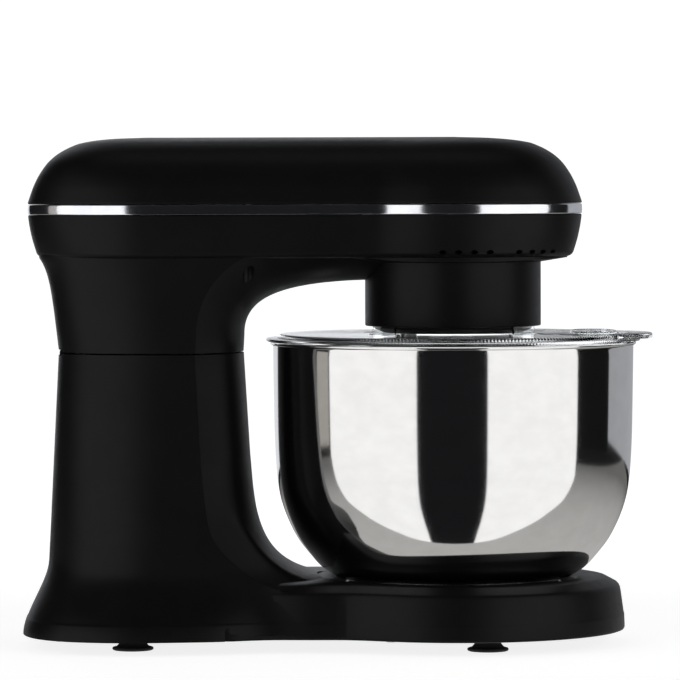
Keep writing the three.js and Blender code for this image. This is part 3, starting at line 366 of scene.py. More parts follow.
class Shader:
    """A principled material with helpers for procedural detail at real scale."""

    def __init__(self, name, color, roughness, metallic=0.0):
        self.material = bpy.data.materials.new(name)
        self.material.use_nodes = True
        self.nodes = self.material.node_tree.nodes
        self.links = self.material.node_tree.links
        self.shader = self.nodes["Principled BSDF"]
        self.shader.inputs["Base Color"].default_value = (*color, 1)
        self.shader.inputs["Roughness"].default_value = roughness
        self.shader.inputs["Metallic"].default_value = metallic
        self.material.diffuse_color = (*color, 1)
        self.coords = self.nodes.new("ShaderNodeTexCoord").outputs["Object"]
        self.last_bump = None

    def set(self, **values):
        """Sets inputs by name, with underscores for the spaces."""
        for name, value in values.items():
            self.shader.inputs[name.replace("_", " ")].default_value = value
        return self

    def stretched(self, scale):
        mapping = self.nodes.new("ShaderNodeMapping")
        mapping.inputs["Scale"].default_value = scale
        self.links.new(self.coords, mapping.inputs["Vector"])
        return mapping.outputs["Vector"]

    def noise(self, size_mm, detail=3.0, vector=None):
        node = self.nodes.new("ShaderNodeTexNoise")
        node.inputs["Scale"].default_value = 1 / (size_mm * MM)
        node.inputs["Detail"].default_value = detail
        self.links.new(vector or self.coords, node.inputs["Vector"])
        return node.outputs["Fac"]

    def cells(self, size_mm):
        node = self.nodes.new("ShaderNodeTexVoronoi")
        node.inputs["Scale"].default_value = 1 / (size_mm * MM)
        self.links.new(self.coords, node.inputs["Vector"])
        return node.outputs["Distance"]

    def ramp(self, source, low, high):
        """Noise lies mostly between 0.3 and 0.7, which is spread over low to high."""
        node = self.nodes.new("ShaderNodeMapRange")
        node.inputs["From Min"].default_value = 0.3
        node.inputs["From Max"].default_value = 0.7
        node.inputs["To Min"].default_value = low
        node.inputs["To Max"].default_value = high
        self.links.new(source, node.inputs["Value"])
        return node.outputs["Result"]

    def vary_roughness(self, source, low, high):
        self.links.new(self.ramp(source, low, high), self.shader.inputs["Roughness"])
        return self

    def vary_color(self, source, dark, light):
        node = self.nodes.new("ShaderNodeMix")
        node.data_type = "RGBA"
        node.inputs[6].default_value = (*dark, 1)
        node.inputs[7].default_value = (*light, 1)
        self.links.new(self.ramp(source, 0, 1), node.inputs[0])
        self.links.new(node.outputs[2], self.shader.inputs["Base Color"])
        return self

    def radial(self, input_name, centre, near, far):
        """An input that changes evenly with distance: near and far are (metres, value)."""
        offset = self.nodes.new("ShaderNodeVectorMath")
        offset.operation = "DISTANCE"
        offset.inputs[1].default_value = centre
        self.links.new(self.coords, offset.inputs[0])
        node = self.nodes.new("ShaderNodeMapRange")
        values = (near[0], far[0], near[1], far[1])
        for name, value in zip(("From Min", "From Max", "To Min", "To Max"), values):
            node.inputs[name].default_value = value
        self.links.new(offset.outputs["Value"], node.inputs["Value"])
        self.links.new(node.outputs["Result"], self.shader.inputs[input_name])
        return self

    def bump(self, source, height_mm):
        node = self.nodes.new("ShaderNodeBump")
        node.inputs["Strength"].default_value = 1.0
        node.inputs["Distance"].default_value = height_mm * MM
        self.links.new(source, node.inputs["Height"])
        if self.last_bump is not None:
            self.links.new(self.last_bump, node.inputs["Normal"])
        self.last_bump = node.outputs["Normal"]
        self.links.new(node.outputs["Normal"], self.shader.inputs["Normal"])
        return self


def black_plastic():
    s = Shader("black_plastic", (0.004, 0.0038, 0.0042), 0.5)
    s.vary_color(s.noise(30, 2), (0.0036, 0.0034, 0.0038), (0.0044, 0.0042, 0.0047))
    s.vary_roughness(s.noise(6, 4), 0.37, 0.43)
    s.bump(s.cells(0.55), 0.018)
    s.bump(s.noise(0.22, 2), 0.006)
    s.set(Specular_IOR_Level=0.13)
    return s.material


def dark_plastic():
    s = Shader("dark_plastic", (0.003, 0.003, 0.003), 0.42)
    s.set(Specular_IOR_Level=0.22)
    s.vary_roughness(s.noise(3, 4), 0.36, 0.48)
    s.bump(s.noise(0.35, 3), 0.006)
    return s.material


def chrome():
    s = Shader("chrome_plating", (0.82, 0.83, 0.86), 0.06, 1.0)
    s.vary_roughness(s.noise(2.5, 5, s.stretched((0.35, 0.35, 4))), 0.10, 0.14)
    s.vary_color(s.noise(9, 3), (0.78, 0.79, 0.83), (0.86, 0.87, 0.9))
    s.bump(s.noise(1.6, 2), 0.003)
    return s.material


def polished_steel():
    s = Shader("polished_steel", (0.73, 0.72, 0.71), 0.07, 1.0)
    s.vary_color(s.noise(14, 3, s.stretched((1, 1, 1.5))), (0.70, 0.695, 0.685), (0.75, 0.745, 0.735))
    s.vary_roughness(s.noise(2.2, 5, s.stretched((0.4, 0.4, 9))), 0.055, 0.085)
    s.bump(s.noise(1.2, 4, s.stretched((0.3, 0.3, 5))), 0.0002)
    s.bump(s.noise(34, 1), 0.02)
    return s.material


def plain_steel():
    s = Shader("plain_steel", (0.55, 0.55, 0.56), 0.3, 1.0)
    s.vary_roughness(s.noise(1.2, 4, s.stretched((1, 1, 6))), 0.22, 0.38)
    s.bump(s.noise(0.4, 3), 0.004)
    return s.material


def metal(name, color, size_mm=1.0, rough=(0.3, 0.45)):
    s = Shader(name, color, rough[0], 1.0)
    s.vary_roughness(s.noise(size_mm * 3, 4), *rough)
    s.vary_color(s.noise(size_mm * 8, 3), [c * 0.9 for c in color], [min(c * 1.08, 1) for c in color])
    s.bump(s.noise(size_mm * 0.5, 3), 0.008)
    return s.material


def matt(name, color, grain_mm, height_mm, rough):
    s = Shader(name, color, rough[0])
    s.vary_roughness(s.noise(grain_mm * 6, 3), *rough)
    s.vary_color(s.noise(grain_mm * 20, 3), [c * 0.85 for c in color], [min(c * 1.15, 1) for c in color])
    s.bump(s.noise(grain_mm, 3), height_mm)
    return s.material


def clear_plastic():
    s = Shader("clear_plastic", (0.93, 0.95, 0.96), 0.04)
    s.set(Transmission_Weight=1.0, IOR=1.49)
    s.vary_roughness(s.noise(18, 3), 0.02, 0.07)
    s.bump(s.noise(14, 2), 0.03)
    return s.material


def winding_copper():
    s = Shader("copper_windings", (0.45, 0.2, 0.1), 0.35, 1.0)
    s.bump(s.noise(0.8, 2, s.stretched((1, 1, 0.1))), 0.1)
    s.vary_roughness(s.noise(2, 3), 0.3, 0.45)
    return s.material


BLACK = black_plastic()
DARK = dark_plastic()
CHROME = chrome()
POLISHED = polished_steel()
STEEL = plain_steel()
CLEAR = clear_plastic()
COPPER = winding_copper()
BRONZE = metal("sintered_bronze", (0.5, 0.36, 0.16), 0.4, (0.35, 0.5))
ALLOY = metal("cast_alloy", (0.52, 0.53, 0.54), 0.8, (0.34, 0.5))
NYLON = matt("natural_nylon", (0.62, 0.6, 0.52), 0.5, 0.01, (0.4, 0.55))
RUBBER = matt("soft_rubber", (0.012, 0.012, 0.012), 0.6, 0.02, (0.6, 0.75))
BOARD = matt("solder_mask", (0.02, 0.10, 0.045), 0.8, 0.01, (0.3, 0.45))
FINISHES = {
    "black_plastic": BLACK, "dark_plastic": DARK, "chrome_trim": CHROME, "polished_steel": POLISHED,
    "plain_steel": STEEL, "bronze": BRONZE, "copper": COPPER, "alloy": ALLOY, "nylon": NYLON,
    "rubber": RUBBER, "board": BOARD, "clear_plastic": CLEAR}


def dress_solids():
    """Every solid that stays in view gets its slot's finish."""
    for part in frame["record"]["subparts"]:
        node = frame["nodes"][part["node"]]
        node.data.materials.clear()
        node.data.materials.append(FINISHES[part["material_slot"]])


# ---- outlines -----------------------------------------------------------------------------

def head_half_width(x):
    waist = lerp(HEAD_REAR_HALF, HEAD_WAIST_HALF, smoothstep(x, HEAD_SPINE[0], HEAD_WAIST_X))
    if x < HEAD_SPINE[0]:
        back = (HEAD_SPINE[0] - x) / HEAD_REAR_LENGTH
        return HEAD_REAR_HALF * math.sqrt(max(1 - back * back, 0))
    reach = HEAD_BULGE_REACH if x < BOWL_X else HEAD_FRONT - BOWL_X
    along = (x - BOWL_X) / reach
    bulge = HEAD_BULGE_HALF * math.sqrt(max(1 - along * along, 0))
    return bulge if x > BOWL_X else smooth_max(waist, bulge, HEAD_BLEND)


def base_half_width(x):
    rear = lerp(BASE_REAR_HALF, BASE_WAIST_HALF, smoothstep(x, *BASE_WAIST_X))
    if x < BASE_SPINE[0]:
        rear *= math.sqrt(max(1 - ((BASE_SPINE[0] - x) / BASE_REAR_LENGTH) ** 2, 0))
    disc = BASE_R * math.sqrt(max(1 - ((x - BASE_CENTRE_X) / BASE_R) ** 2, 0))
    return disc if x > BASE_CENTRE_X - 20 else smooth_max(rear, disc, BASE_BLEND)


def round_end_stations(x0, rear_length, x1, front_length, counts):
    """Places along x for an outline, closer together towards its two round ends."""
    rear, middle, front = counts
    out = [x0 + rear_length * (1 - math.cos(math.pi / 2 * i / rear)) for i in range(rear)]
    out += [lerp(x0 + rear_length, x1 - front_length, i / middle) for i in range(middle)]
    out += [x1 - front_length * (1 - math.sin(math.pi / 2 * i / front)) for i in range(front + 1)]
    return out


def mirrored_outline(stations, half_width):
    far = [(x, half_width(x)) for x in stations]
    return far + [(x, -y) for x, y in reversed(far[1:-1])]


HEAD_STATIONS = round_end_stations(
    HEAD_REAR, HEAD_REAR_LENGTH, HEAD_FRONT, HEAD_FRONT - BOWL_X, (36, 110, 36))
BASE_STATIONS = round_end_stations(
    BASE_REAR_X, BASE_REAR_LENGTH, BASE_CENTRE_X + BASE_R, BASE_R, (14, 60, 60))
HEAD_OUTLINE = mirrored_outline(HEAD_STATIONS, head_half_width)
BASE_OUTLINE = mirrored_outline(BASE_STATIONS, base_half_width)


def inset_ring(outline, inset, z, spine):
    """The outline moved towards the spine on the x axis.

    inset is a distance, or a function that gives one from the room there is.
    """
    ring = []
    for x, y in outline:
        foot = clamp(x, *spine)
        length = math.hypot(x - foot, y)
        depth = inset(length) if callable(inset) else inset
        keep = max(length - depth, 0.5) / length
        ring.append((foot + (x - foot) * keep, y * keep, z))
    return ring


def head_ring(inset, z):
    return inset_ring(HEAD_OUTLINE, inset, z, HEAD_SPINE)


def base_ring(inset, z):
    return inset_ring(BASE_OUTLINE, inset, z, BASE_SPINE)


# ---- head cover and trim band -------------------------------------------------------------

FLAT_TOP = 30
DOME = [[0, 259.2], [1.6, 264], [3.8, 269.8], [7.5, 276.8], [13, 283.9], [21, 289.8], [32, 294.4],
        [44, 296.5], [60, HEAD_TOP]]


def dome_inset(distance, wall=0):
    """An inset that keeps its distance near the edge and then closes on the spine evenly."""
    def inset(length):
        edge = min(distance, FLAT_TOP)
        rest = clamp((distance - FLAT_TOP) / FLAT_TOP, 0, 0.98) * (length - FLAT_TOP - wall)
        return wall + edge + max(rest, 0)
    return inset


def make_head_cover():
    curve = spline(DOME, 6)
    lip = [[0.9, 258.3], [0.35, 258.42], [0.08, 258.75]]
    outer = [head_ring(dome_inset(d), z) for d, z in lip + curve]
    inner = [head_ring(dome_inset(d, WALL), z - WALL * smoothstep(d, 0, 12)) for d, z in reversed(curve[1:])]
    underside = [head_ring(WALL, 258.3)]
    shell = loft("head_cover_shell", inner + underside + outer)
    place(shell, "head", BLACK, "black_plastic", "head_cover", angle=50)


def make_trim_band():
    edge = 0.35
    outer = [(edge, BAND_BOTTOM), (0.05, BAND_BOTTOM + 0.25)]
    face = [i / 6 for i in range(7)]
    outer += [(-0.12 * math.sin(math.pi * t), lerp(BAND_BOTTOM + 0.5, BAND_TOP - 0.5, t)) for t in face]
    outer += [(0.05, BAND_TOP - 0.25), (edge, BAND_TOP), (WALL, BAND_TOP), (WALL, BAND_BOTTOM)]
    band = loop_loft("chrome_band", [head_ring(inset, z) for inset, z in outer])
    place(band, "head", CHROME, "chrome_trim", "trim_band", angle=40)


# ---- neck and column ----------------------------------------------------------------------

ARM_LINE = [(-55.2, 181.5), (-55.4, 203), (-35.1, 212.9), (25, 213.6)]
COLUMN_LINE = [(-52, 110.9), (-49.1, 80.6), (-50.8, 34), (12, 40.2)]
CREASE = 0.73
NECK_SOFT, NECK_CRISP = 12.5, 27
COLUMN_SOFT, COLUMN_CRISP = (2, 12.5), (10, 27.5)
SLAB_EDGE = 3.5
JUST_INSIDE = 0.04
MERGE_X = (-75, -16)
MERGE_Z = (33, 47)
SIDE_SHARES = [-1.2, -1.1] + [i / 40 for i in range(-40, 41)] + [1.1, 1.2]


def fall_back(share, soft, crisp):
    """How far a bowl-side face lies back from its line at y = 0. share is 0 there and 1 at the flank.

    Up to the crease it is a soft crown that reaches soft, and beyond it a chamfer that reaches crisp.
    """
    f = min(abs(share), 1)
    crown = soft * (f / CREASE) ** 2.2
    chamfer = lerp(soft, crisp, (f - CREASE) / (1 - CREASE))
    return smooth_max(crown, chamfer, 2.5) if f > 0.4 else crown


def pushed_line(curve, steps, share, side, soft, crisp, wall):
    """The line of a bowl-side face at one share of the width, on the given side of the curve."""
    out = []
    for i in range(steps + 1):
        point, slope = bezier(curve, i / steps)
        back = fall_back(share, soft(point[1]), crisp(point[1])) + wall
        out.append((point[0] - side * slope[1] * back, point[1] + side * slope[0] * back))
    return out


def neck_half_width(z, x=0):
    return lerp(COLUMN_TOP_HALF, NECK_TOP_HALF, smoothstep(z, SEAM_Z, TRAY_BOTTOM))


def neck_rear(z):
    lean = NECK_REAR_SLOPE * (z - SEAM_Z - 0.5)
    flare = NECK_REAR_FLARE * math.exp((min(z, TRAY_BOTTOM) - TRAY_BOTTOM) / NECK_FLARE_HEIGHT)
    return NECK_REAR_X - lean - flare


def foot_flare(z):
    return 1 - smoothstep(z, BASE_BOTTOM, FOOT_TOP)


def column_rear(z):
    straight = COLUMN_REAR_X - COLUMN_REAR_SLOPE * (COLUMN_REAR_TOP - z)
    return straight - COLUMN_REAR_FLARE * foot_flare(z) + lip_step(z)


def lip_step(z):
    """The shallow step above the lip that runs round the foot of the base."""
    return LIP_DEPTH * (smoothstep(z, *LIP_RISE) - smoothstep(z, *LIP_FADE))


def column_half_width(z, x=COLUMN_CENTRE_X):
    share = clamp((SEAM_Z - z) / (SEAM_Z - FOOT_TOP), 0, 1)
    spread = COLUMN_SPREAD * share + COLUMN_FOOT_SPREAD * foot_flare(z)
    return COLUMN_TOP_HALF + spread * lerp(1, COLUMN_TAPER, smoothstep(x, *COLUMN_TAPER_X))


def column_outside(z, x):
    """The column's flank, which runs into the wall of the base slab towards the bowl."""
    flank = column_half_width(z, x) - lip_step(z)
    slab = base_half_width(x) - min(slab_inset(z), SLAB_EDGE) - JUST_INSIDE
    return lerp(flank, slab, smoothstep(x, *MERGE_X) * (1 - smoothstep(z, *MERGE_Z)))


def slab_inset(z):
    """How far the slab's wall stands in from the base's outline at a height."""
    for (inset0, z0), (inset1, z1) in zip(SLAB, SLAB[1:]):
        if z <= z1:
            return lerp(inset0, inset1, (z - z0) / (z1 - z0))
    return 0


def roundness(z):
    return lerp(3, 2.4, smoothstep(z, BASE_BOTTOM, 60))


def plan_ring(z, rear, half, stations, wall):
    """The column's or neck's outline seen from above: a rounded rear, then flanks through the stations."""
    steps = 40
    power = 2 / roundness(z)
    length = COLUMN_CENTRE_X - rear - wall
    far = []
    for i in range(steps + 1):
        a = math.pi / 2 * i / steps
        x = COLUMN_CENTRE_X - length * max(math.cos(a), 0) ** power
        far.append((x, (half(z, x) - wall) * math.sin(a) ** power))
    far += [(x, half(z, x) - wall) for x in stations]
    near = [(x, -y) for x, y in reversed(far[1:])]
    return [(x, y, z) for x, y in far + near]


def plan_body(levels, rear, half, stations, wall):
    return loft("plan", [plan_ring(z, rear(z), half, stations, wall) for z in levels])


def even_levels(low, high, step):
    count = max(round((high - low) / step), 1)
    return [lerp(low, high, i / count) for i in range(count + 1)]


def neck_body(wall, bottom, top):
    above = 262
    rings = []
    for share in SIDE_SHARES:
        curved = pushed_line(ARM_LINE, 48, share, 1, lambda z: NECK_SOFT, lambda z: NECK_CRISP, wall)
        outline = [(-200, bottom), (curved[0][0] - 0.5, bottom), *curved, (72, curved[-1][1]), (72, above)]
        outline.append((-200, above))
        rings.append([(x, share * neck_half_width(z), z) for x, z in outline])
    body = loft("neck", rings)
    return keep_common(body, plan_body(even_levels(bottom, top, 3), neck_rear, neck_half_width, [76], wall))


def soft_push(z):
    return lerp(*COLUMN_SOFT, smoothstep(z, 42, 92))


def crisp_push(z):
    return lerp(*COLUMN_CRISP, smoothstep(z, 37, 78))


def column_body(wall, bottom, top):
    rings = []
    for share in SIDE_SHARES:
        curved = pushed_line(COLUMN_LINE, 60, share, -1, soft_push, crisp_push, wall)
        outline = [(-200, top), (curved[0][0] - 3.6, top), *curved, (12, bottom), (-200, bottom)]
        rings.append([(x, share * column_half_width(z, -40), z) for x, z in outline])
    body = loft("column", rings)
    levels = even_levels(bottom, 16.5, 2) + even_levels(16.9, 18.5, 0.4) + even_levels(20, 54, 2.5)
    levels += even_levels(54, top, 12)[1:]
    stations = [-92 + 6 * i for i in range(21)]
    return keep_common(body, plan_body(levels, column_rear, column_outside, stations, wall))


# ---- hinge --------------------------------------------------------------------------------

def knuckle(low, high, r=KNUCKLE_R):
    return rod("knuckle", 1, r, low, high, (HINGE_X, SEAM_Z), 48)


def hinge_bore():
    reach = HINGE_PIN_HALF + GAP
    return rod("bore", 1, HINGE_PIN_R + 0.1, -reach, reach, (HINGE_X, SEAM_Z), 32)


# ---- head housing -------------------------------------------------------------------------

TRAY = [[9, TRAY_BOTTOM], [6.9, 227.7], [5.3, 229.2], [4.4, 231.6], [2.5, 238], [1, 245], [0.15, 251]]
VENT_ANGLES = [31, 38, 45, 53, 70, 79, 88, 97]
VENT_Z = 230.3
VENT_REACH = (51, 82)
VENT_HALF = (2.1, 1.25)
POST_R = 5.5
SCREW_WELL = [[0, 160], [3.4, 160], [3.4, 246], [2.2, 246], [2.2, 262], [0, 262]]


def vent_slots():
    """The oval rods that cut the row of slots round the hub, as one object."""
    verts, faces = [], []
    for side in (-1, 1):
        for degrees in VENT_ANGLES:
            turn = Matrix.Rotation(side * math.radians(degrees), 3, "Z")
            start = len(verts)
            ring = []
            for i in range(16):
                a = 2 * math.pi * i / 16
                ring.append((VENT_HALF[0] * math.cos(a), VENT_HALF[1] * math.sin(a)))
            for x in VENT_REACH:
                for y, z in ring:
                    v = turn @ Vector((x, y, 0))
                    verts.append([BOWL_X + v.x, v.y, VENT_Z + z])
            faces.append([start + i for i in range(15, -1, -1)])
            faces.append([start + 16 + i for i in range(16)])
            for i in range(16):
                following = start + (i + 1) % 16
                faces.append([start + i, following, following + 16, start + 16 + i])
    return new_object("slots", verts, faces)


def make_head_housing():
    bottom = SEAM_Z + 0.5
    tray_curve = spline(TRAY, 4) + [[0.3, 251.75], [0.6, BAND_BOTTOM - GAP]]
    shell = loft("head_housing_shell", [head_ring(inset, z) for inset, z in tray_curve])
    join(shell, neck_body(0, bottom, 236))
    under = turned("under", [[0, 224], [HUB_R, 224], [70, TRAY_BOTTOM], [70, 228.5], [0, 228.5]], (BOWL_X, 0))
    keep_common(under, loft("footprint", [head_ring(8.6, z) for z in (220, 232)]))
    join(shell, under)
    posts = []
    for x, y in COVER_SCREWS:
        post = rod("post", 2, POST_R, bottom, 250, (x, y), 40)
        whole = shell.copy()
        whole.data = shell.data.copy()
        bpy.context.scene.collection.objects.link(whole)
        posts += [keep_common(post, whole), rod("post_top", 2, POST_R, 249, BAND_TOP, (x, y), 40)]
    room = [[12, TRAY_BOTTOM + 2.5], [5.2, 240], [WALL, BAND_BOTTOM + 1]]
    cut(shell, loft("room", [head_ring(inset, z) for inset, z in room]))
    cut(shell, neck_body(WALL, bottom + 3, 234))
    wedge = [(HINGE_X, SEAM_Z), (BEHIND, SEAM_Z), (BEHIND, SEAM_Z + 0.42 * (HINGE_X - BEHIND))]
    cut(shell, prism("wedge", wedge, -NOTCH_HALF, NOTCH_HALF, 1))
    near, far = KNUCKLE_HALF + GAP / 2, KNUCKLE_END + GAP
    for low, high in ((-far, -near), (near, far)):
        cut(shell, knuckle(low, high, KNUCKLE_RELIEF))
    join(shell, knuckle(-KNUCKLE_HALF, KNUCKLE_HALF))
    web = [(HINGE_X, SEAM_Z + 1), (HINGE_X + 3, SEAM_Z), (HINGE_X + 16, 182), (HINGE_X - 1, 182)]
    join(shell, prism("web", web, -KNUCKLE_HALF + 0.01, KNUCKLE_HALF - 0.01, 1), *posts)
    for x, y in COVER_SCREWS:
        cut(shell, turned("well", SCREW_WELL, (x, y), 40))
    cut(shell, rod("hub_hole", 2, HUB_R + 0.15, 180, BAND_TOP + 4, (BOWL_X, 0), 160), hinge_bore())
    cut(shell, rod("wire_hole", 2, WIRE_HOLE_R, 160, 182, WIRE_HOLE, 40))
    cut(shell, box("hook_slot", (-78, -6, 170), (-72, 6, 175.6)))
    cut(shell, vent_slots())
    weigh_normals(shell)
    place(shell, "head", BLACK, "black_plastic", "head_housing", angle=28)


# ---- base ---------------------------------------------------------------------------------

SLAB = [[1.3, BASE_BOTTOM], [0.5, 8.3], [0.1, 9], [0, 9.7], [0.3, 16.9], [0.38, 17.3], [0.55, 17.7],
        [0.7, 18.5], [1.2, 22], [2.3, 30], [2.8, 32.6], [3.5, 34.1], [4.6, 35.3], [10, 38.2], [11.2, 38.8],
        [12.8, 39.1], [16, RIM_TOP], [23.5, RIM_TOP + 0.2]]
SLAB_ROOM = [[WALL + 1, BASE_BOTTOM - 1], [WALL + 2.6, 22], [WALL + 5, 30], [16, 35], [24, RIM_TOP - WALL]]


def make_base_housing():
    top = SEAM_Z - 0.5
    shell = loft("base_housing_shell", [base_ring(inset, z) for inset, z in SLAB])
    join(shell, column_body(0, BASE_BOTTOM, top))
    cut(shell, loft("slab_room", [base_ring(inset, z) for inset, z in SLAB_ROOM]))
    cut(shell, column_body(WALL, BASE_BOTTOM - 1, top - 3))
    pan = [[0, SEAT_FLOOR - WALL], [72, SEAT_FLOOR - WALL], [SEAT_R + 1, 29], [SEAT_R + 3, 38], [0, 38]]
    pad = rod("pad", 1, KNOB_R + 8, KNOB_SEAT_Y - 3, BEYOND, KNOB, 64)
    keep_common(pad, column_body(0, BASE_BOTTOM, top))
    join(shell, turned("pan", pan, (BOWL_X, 0), 160), pad)
    seat = [[0, SEAT_FLOOR], [68, SEAT_FLOOR], [70, 31], [71.5, 36.8], [73, 38.2], [76, 39.1],
            [SEAT_R + 1.4, RIM_TOP + 0.1], [SEAT_R + 1.4, 60], [0, 60]]
    cut(shell, turned("seat", seat, (BOWL_X, 0), 160))
    cut(shell, rod("knob_pocket", 1, KNOB_R + 5 + GAP, KNOB_SEAT_Y, BEYOND, KNOB, 96))
    cut(shell, rod("knob_bore", 1, 4, 40, 65, KNOB, 32))
    hole_half = [half + GAP for half in BUTTON_HALF]
    cut(shell, rounded_block("button_hole", BUTTON, hole_half, BUTTON_CORNER, 30, 70))
    wedge = [(HINGE_X, SEAM_Z), (BEHIND, SEAM_Z), (BEHIND, SEAM_Z - 10)]
    cut(shell, prism("wedge", wedge, -NOTCH_HALF, NOTCH_HALF, 1))
    for low, high in ((-KNUCKLE_END, -KNUCKLE_HALF - GAP), (KNUCKLE_HALF + GAP, KNUCKLE_END)):
        web = [(HINGE_X - 1, 160), (HINGE_X + 16, 160), (HINGE_X + 2.6, SEAM_Z - 0.2),
               (HINGE_X, SEAM_Z - 1)]
        join(shell, knuckle(low, high), prism("web", web, low + 0.01, high - 0.01, 1))
    cut(shell, knuckle(-KNUCKLE_HALF - GAP, KNUCKLE_HALF + GAP, KNUCKLE_RELIEF), hinge_bore())
    cut(shell, rod("gland_hole", 0, GLAND_R + GAP, BEHIND, -160, GLAND, 48))
    cut(shell, rod("wire_hole", 2, WIRE_HOLE_R, 160, 176, WIRE_HOLE, 40))
    cut(shell, box("latch_slot", (-84, -9, 160), (-66, 9, 176)))
    cut(shell, rounded_block("clip_notch", CLIP_NOTCH, CLIP_NOTCH_HALF, 2.2, -95, -82))
    weigh_normals(shell)
    place(shell, "base", BLACK, "black_plastic", "base_housing", angle=28)


def rounded_outline(at, half, r, steps=6):
    out = []
    corners = ((1, 1, 0), (-1, 1, 90), (-1, -1, 180), (1, -1, 270))
    for sx, sz, start in corners:
        centre = (at[0] + sx * (half[0] - r), at[1] + sz * (half[1] - r))
        out += [tuple(p) for p in arc(centre, r, start, start + 90, steps)]
    return out


def rounded_block(name, at, half, r, low, high):
    return prism(name, rounded_outline(at, half, r), low, high, 1)


def make_feet():
    profile = [[0, 0], [11, 0], [11.7, 0.3], [12, 1], [11.7, 1.7], [10.9, 2], [9.6, 2.2], [8.3, 3.6],
               [7.3, 5], [6.8, 6.4], [6.6, 7.7], [4.6, BASE_BOTTOM], [4.6, 11.2], [6.2, 11.6], [4.8, 14],
               [0, 14]]
    for place_name, (x, y) in FOOT_SPOTS.items():
        for side, sign in (("near", -1), ("far", 1)):
            name = f"foot_{place_name}_{side}"
            foot = turned(name + "_cup", profile, (x, sign * y), 64)
            place(foot, "base", RUBBER, "rubber", name, angle=40)


def make_base_plate():
    heights, inset = (BASE_BOTTOM + GAP, BASE_BOTTOM + 2.6), 4.6
    plate = loft("base_plate_sheet", [base_ring(inset, z) for z in heights])
    stations = [-92 + 6 * i for i in range(14)]
    tail = plan_ring(heights[1], column_rear(heights[1]), column_half_width, stations, inset)
    join(plate, loft("tail", [[(x, y, z) for x, y, _ in tail] for z in heights]))
    for x, y in FOOT_SPOTS.values():
        cut(plate, *[rod("hole", 2, 5, 0, 20, (x, side * y), 48) for side in (-1, 1)])
    cut(plate, *[rod("bore", 2, 2.2, 0, 20, spot, 32) for spot in BASE_SCREWS])
    cut(plate, *[box("vent", (x, -22, 0), (x + 5, 22, 20)) for x in (-60, -45, -30, -15)])
    place(plate, "base", DARK, "dark_plastic", "base_plate", angle=40)
    for i, spot in enumerate(BASE_SCREWS):
        head = [[0, 6], [2.7, 6], [3.2, 6.5], [3.2, 8], [1.5, 8], [1.5, 21], [0, 22]]
        screw = turned(f"base_screw_head_{i + 1}", head, spot, 32)
        cut(screw, box("slot", (spot[0] - 2.4, spot[1] - 0.4, 5), (spot[0] + 2.4, spot[1] + 0.4, 6.8)))
        place(screw, "base", STEEL, "plain_steel", f"base_screw_{i + 1}", angle=32)


def make_bowl_lock():
    z = SEAT_FLOOR + GAP
    dish_profile = [[0, z], [63.6, z], [64, z + 0.4], [64, 35.1], [63.7, 35.4], [62, 35.4], [62, 30], [0, 30]]
    foot_profile = [[50.6, 31.2], [54, 31.2], [54, 36.2], [50.6, 36.2]]
    dish = turned("clamp_dish", dish_profile, (BOWL_X, 0), 160)
    foot = turned("bowl_foot_ring", foot_profile, (BOWL_X, 0), 160, closed=True)
    for angle in THIRDS:
        join(dish, ring_block("claw", 55.2, 63, angle, 26, 33.8, 35.39))
        join(foot, ring_block("lug", 53, 60, angle, 22, 31.21, 33.2))
    place(dish, "base", STEEL, "plain_steel", "bowl_clamp_plate", angle=32)
    place(foot, "bowl", STEEL, "plain_steel", "bowl_foot", angle=32)


def make_gland():
    gland = soften(rod("cord_gland_tube", 0, GLAND_R, -176.5, -164, GLAND, 64), 0.6)
    cut(gland, rod("bore", 0, 3.6, -182, -150, GLAND, 48))
    place(gland, "base", RUBBER, "rubber", "cord_gland", angle=32)


# ---- hub and turning disc -----------------------------------------------------------------

def make_hub():
    inner, corner = HUB_R - 2, 0.7
    profile = [[inner, HUB_BOTTOM + 0.3], [inner + 0.3, HUB_BOTTOM]]
    profile += arc((HUB_R - corner, HUB_BOTTOM + corner), corner, -90, 0, 5)
    profile += [[HUB_R, 200], [HUB_R, 222], [HUB_R, HUB_TOP], [inner, HUB_TOP], [inner, 216], [13.5, 216],
                [13.5, 212], [inner, 212]]
    hub = turned("hub_shell", profile, (BOWL_X, 0), 160, closed=True)
    place(hub, "head", BLACK, "black_plastic", "hub_housing", angle=40)


def make_disc():
    face = [[0, 182.5], [39.6, 182.5]] + arc((40.4, 183.5), 1.0, -90, -50, 3)
    face += [[45.6, 184.6]] + arc((DISC_R - 1, 186.1), 1.0, -50, 0, 4)
    profile = face + [[DISC_R, 193.6], [12, 193.6], [12, 197.6], [5.3, 197.6], [5.3, 186], [0, 186]]
    disc = turned("turning_disc", profile, (BOWL_X, 0), 160)
    cut(disc, rod("bore", 2, 7.6, 180, 200, (TOOL_X, 0), 48))
    place(disc, "planet", DARK, "dark_plastic", "planet_carrier", angle=32)


# ---- bowl ---------------------------------------------------------------------------------

BOWL_SIDE = [[56, 36.6], [64, 37.6], [71.5, 40.6], [77.6, 44.9], [82.5, 50], [90.5, 60], [96, 70], [100, 80],
             [102.5, 90], [104.1, 103], [105.1, 122], [105.6, 148], [106, 174.7]]


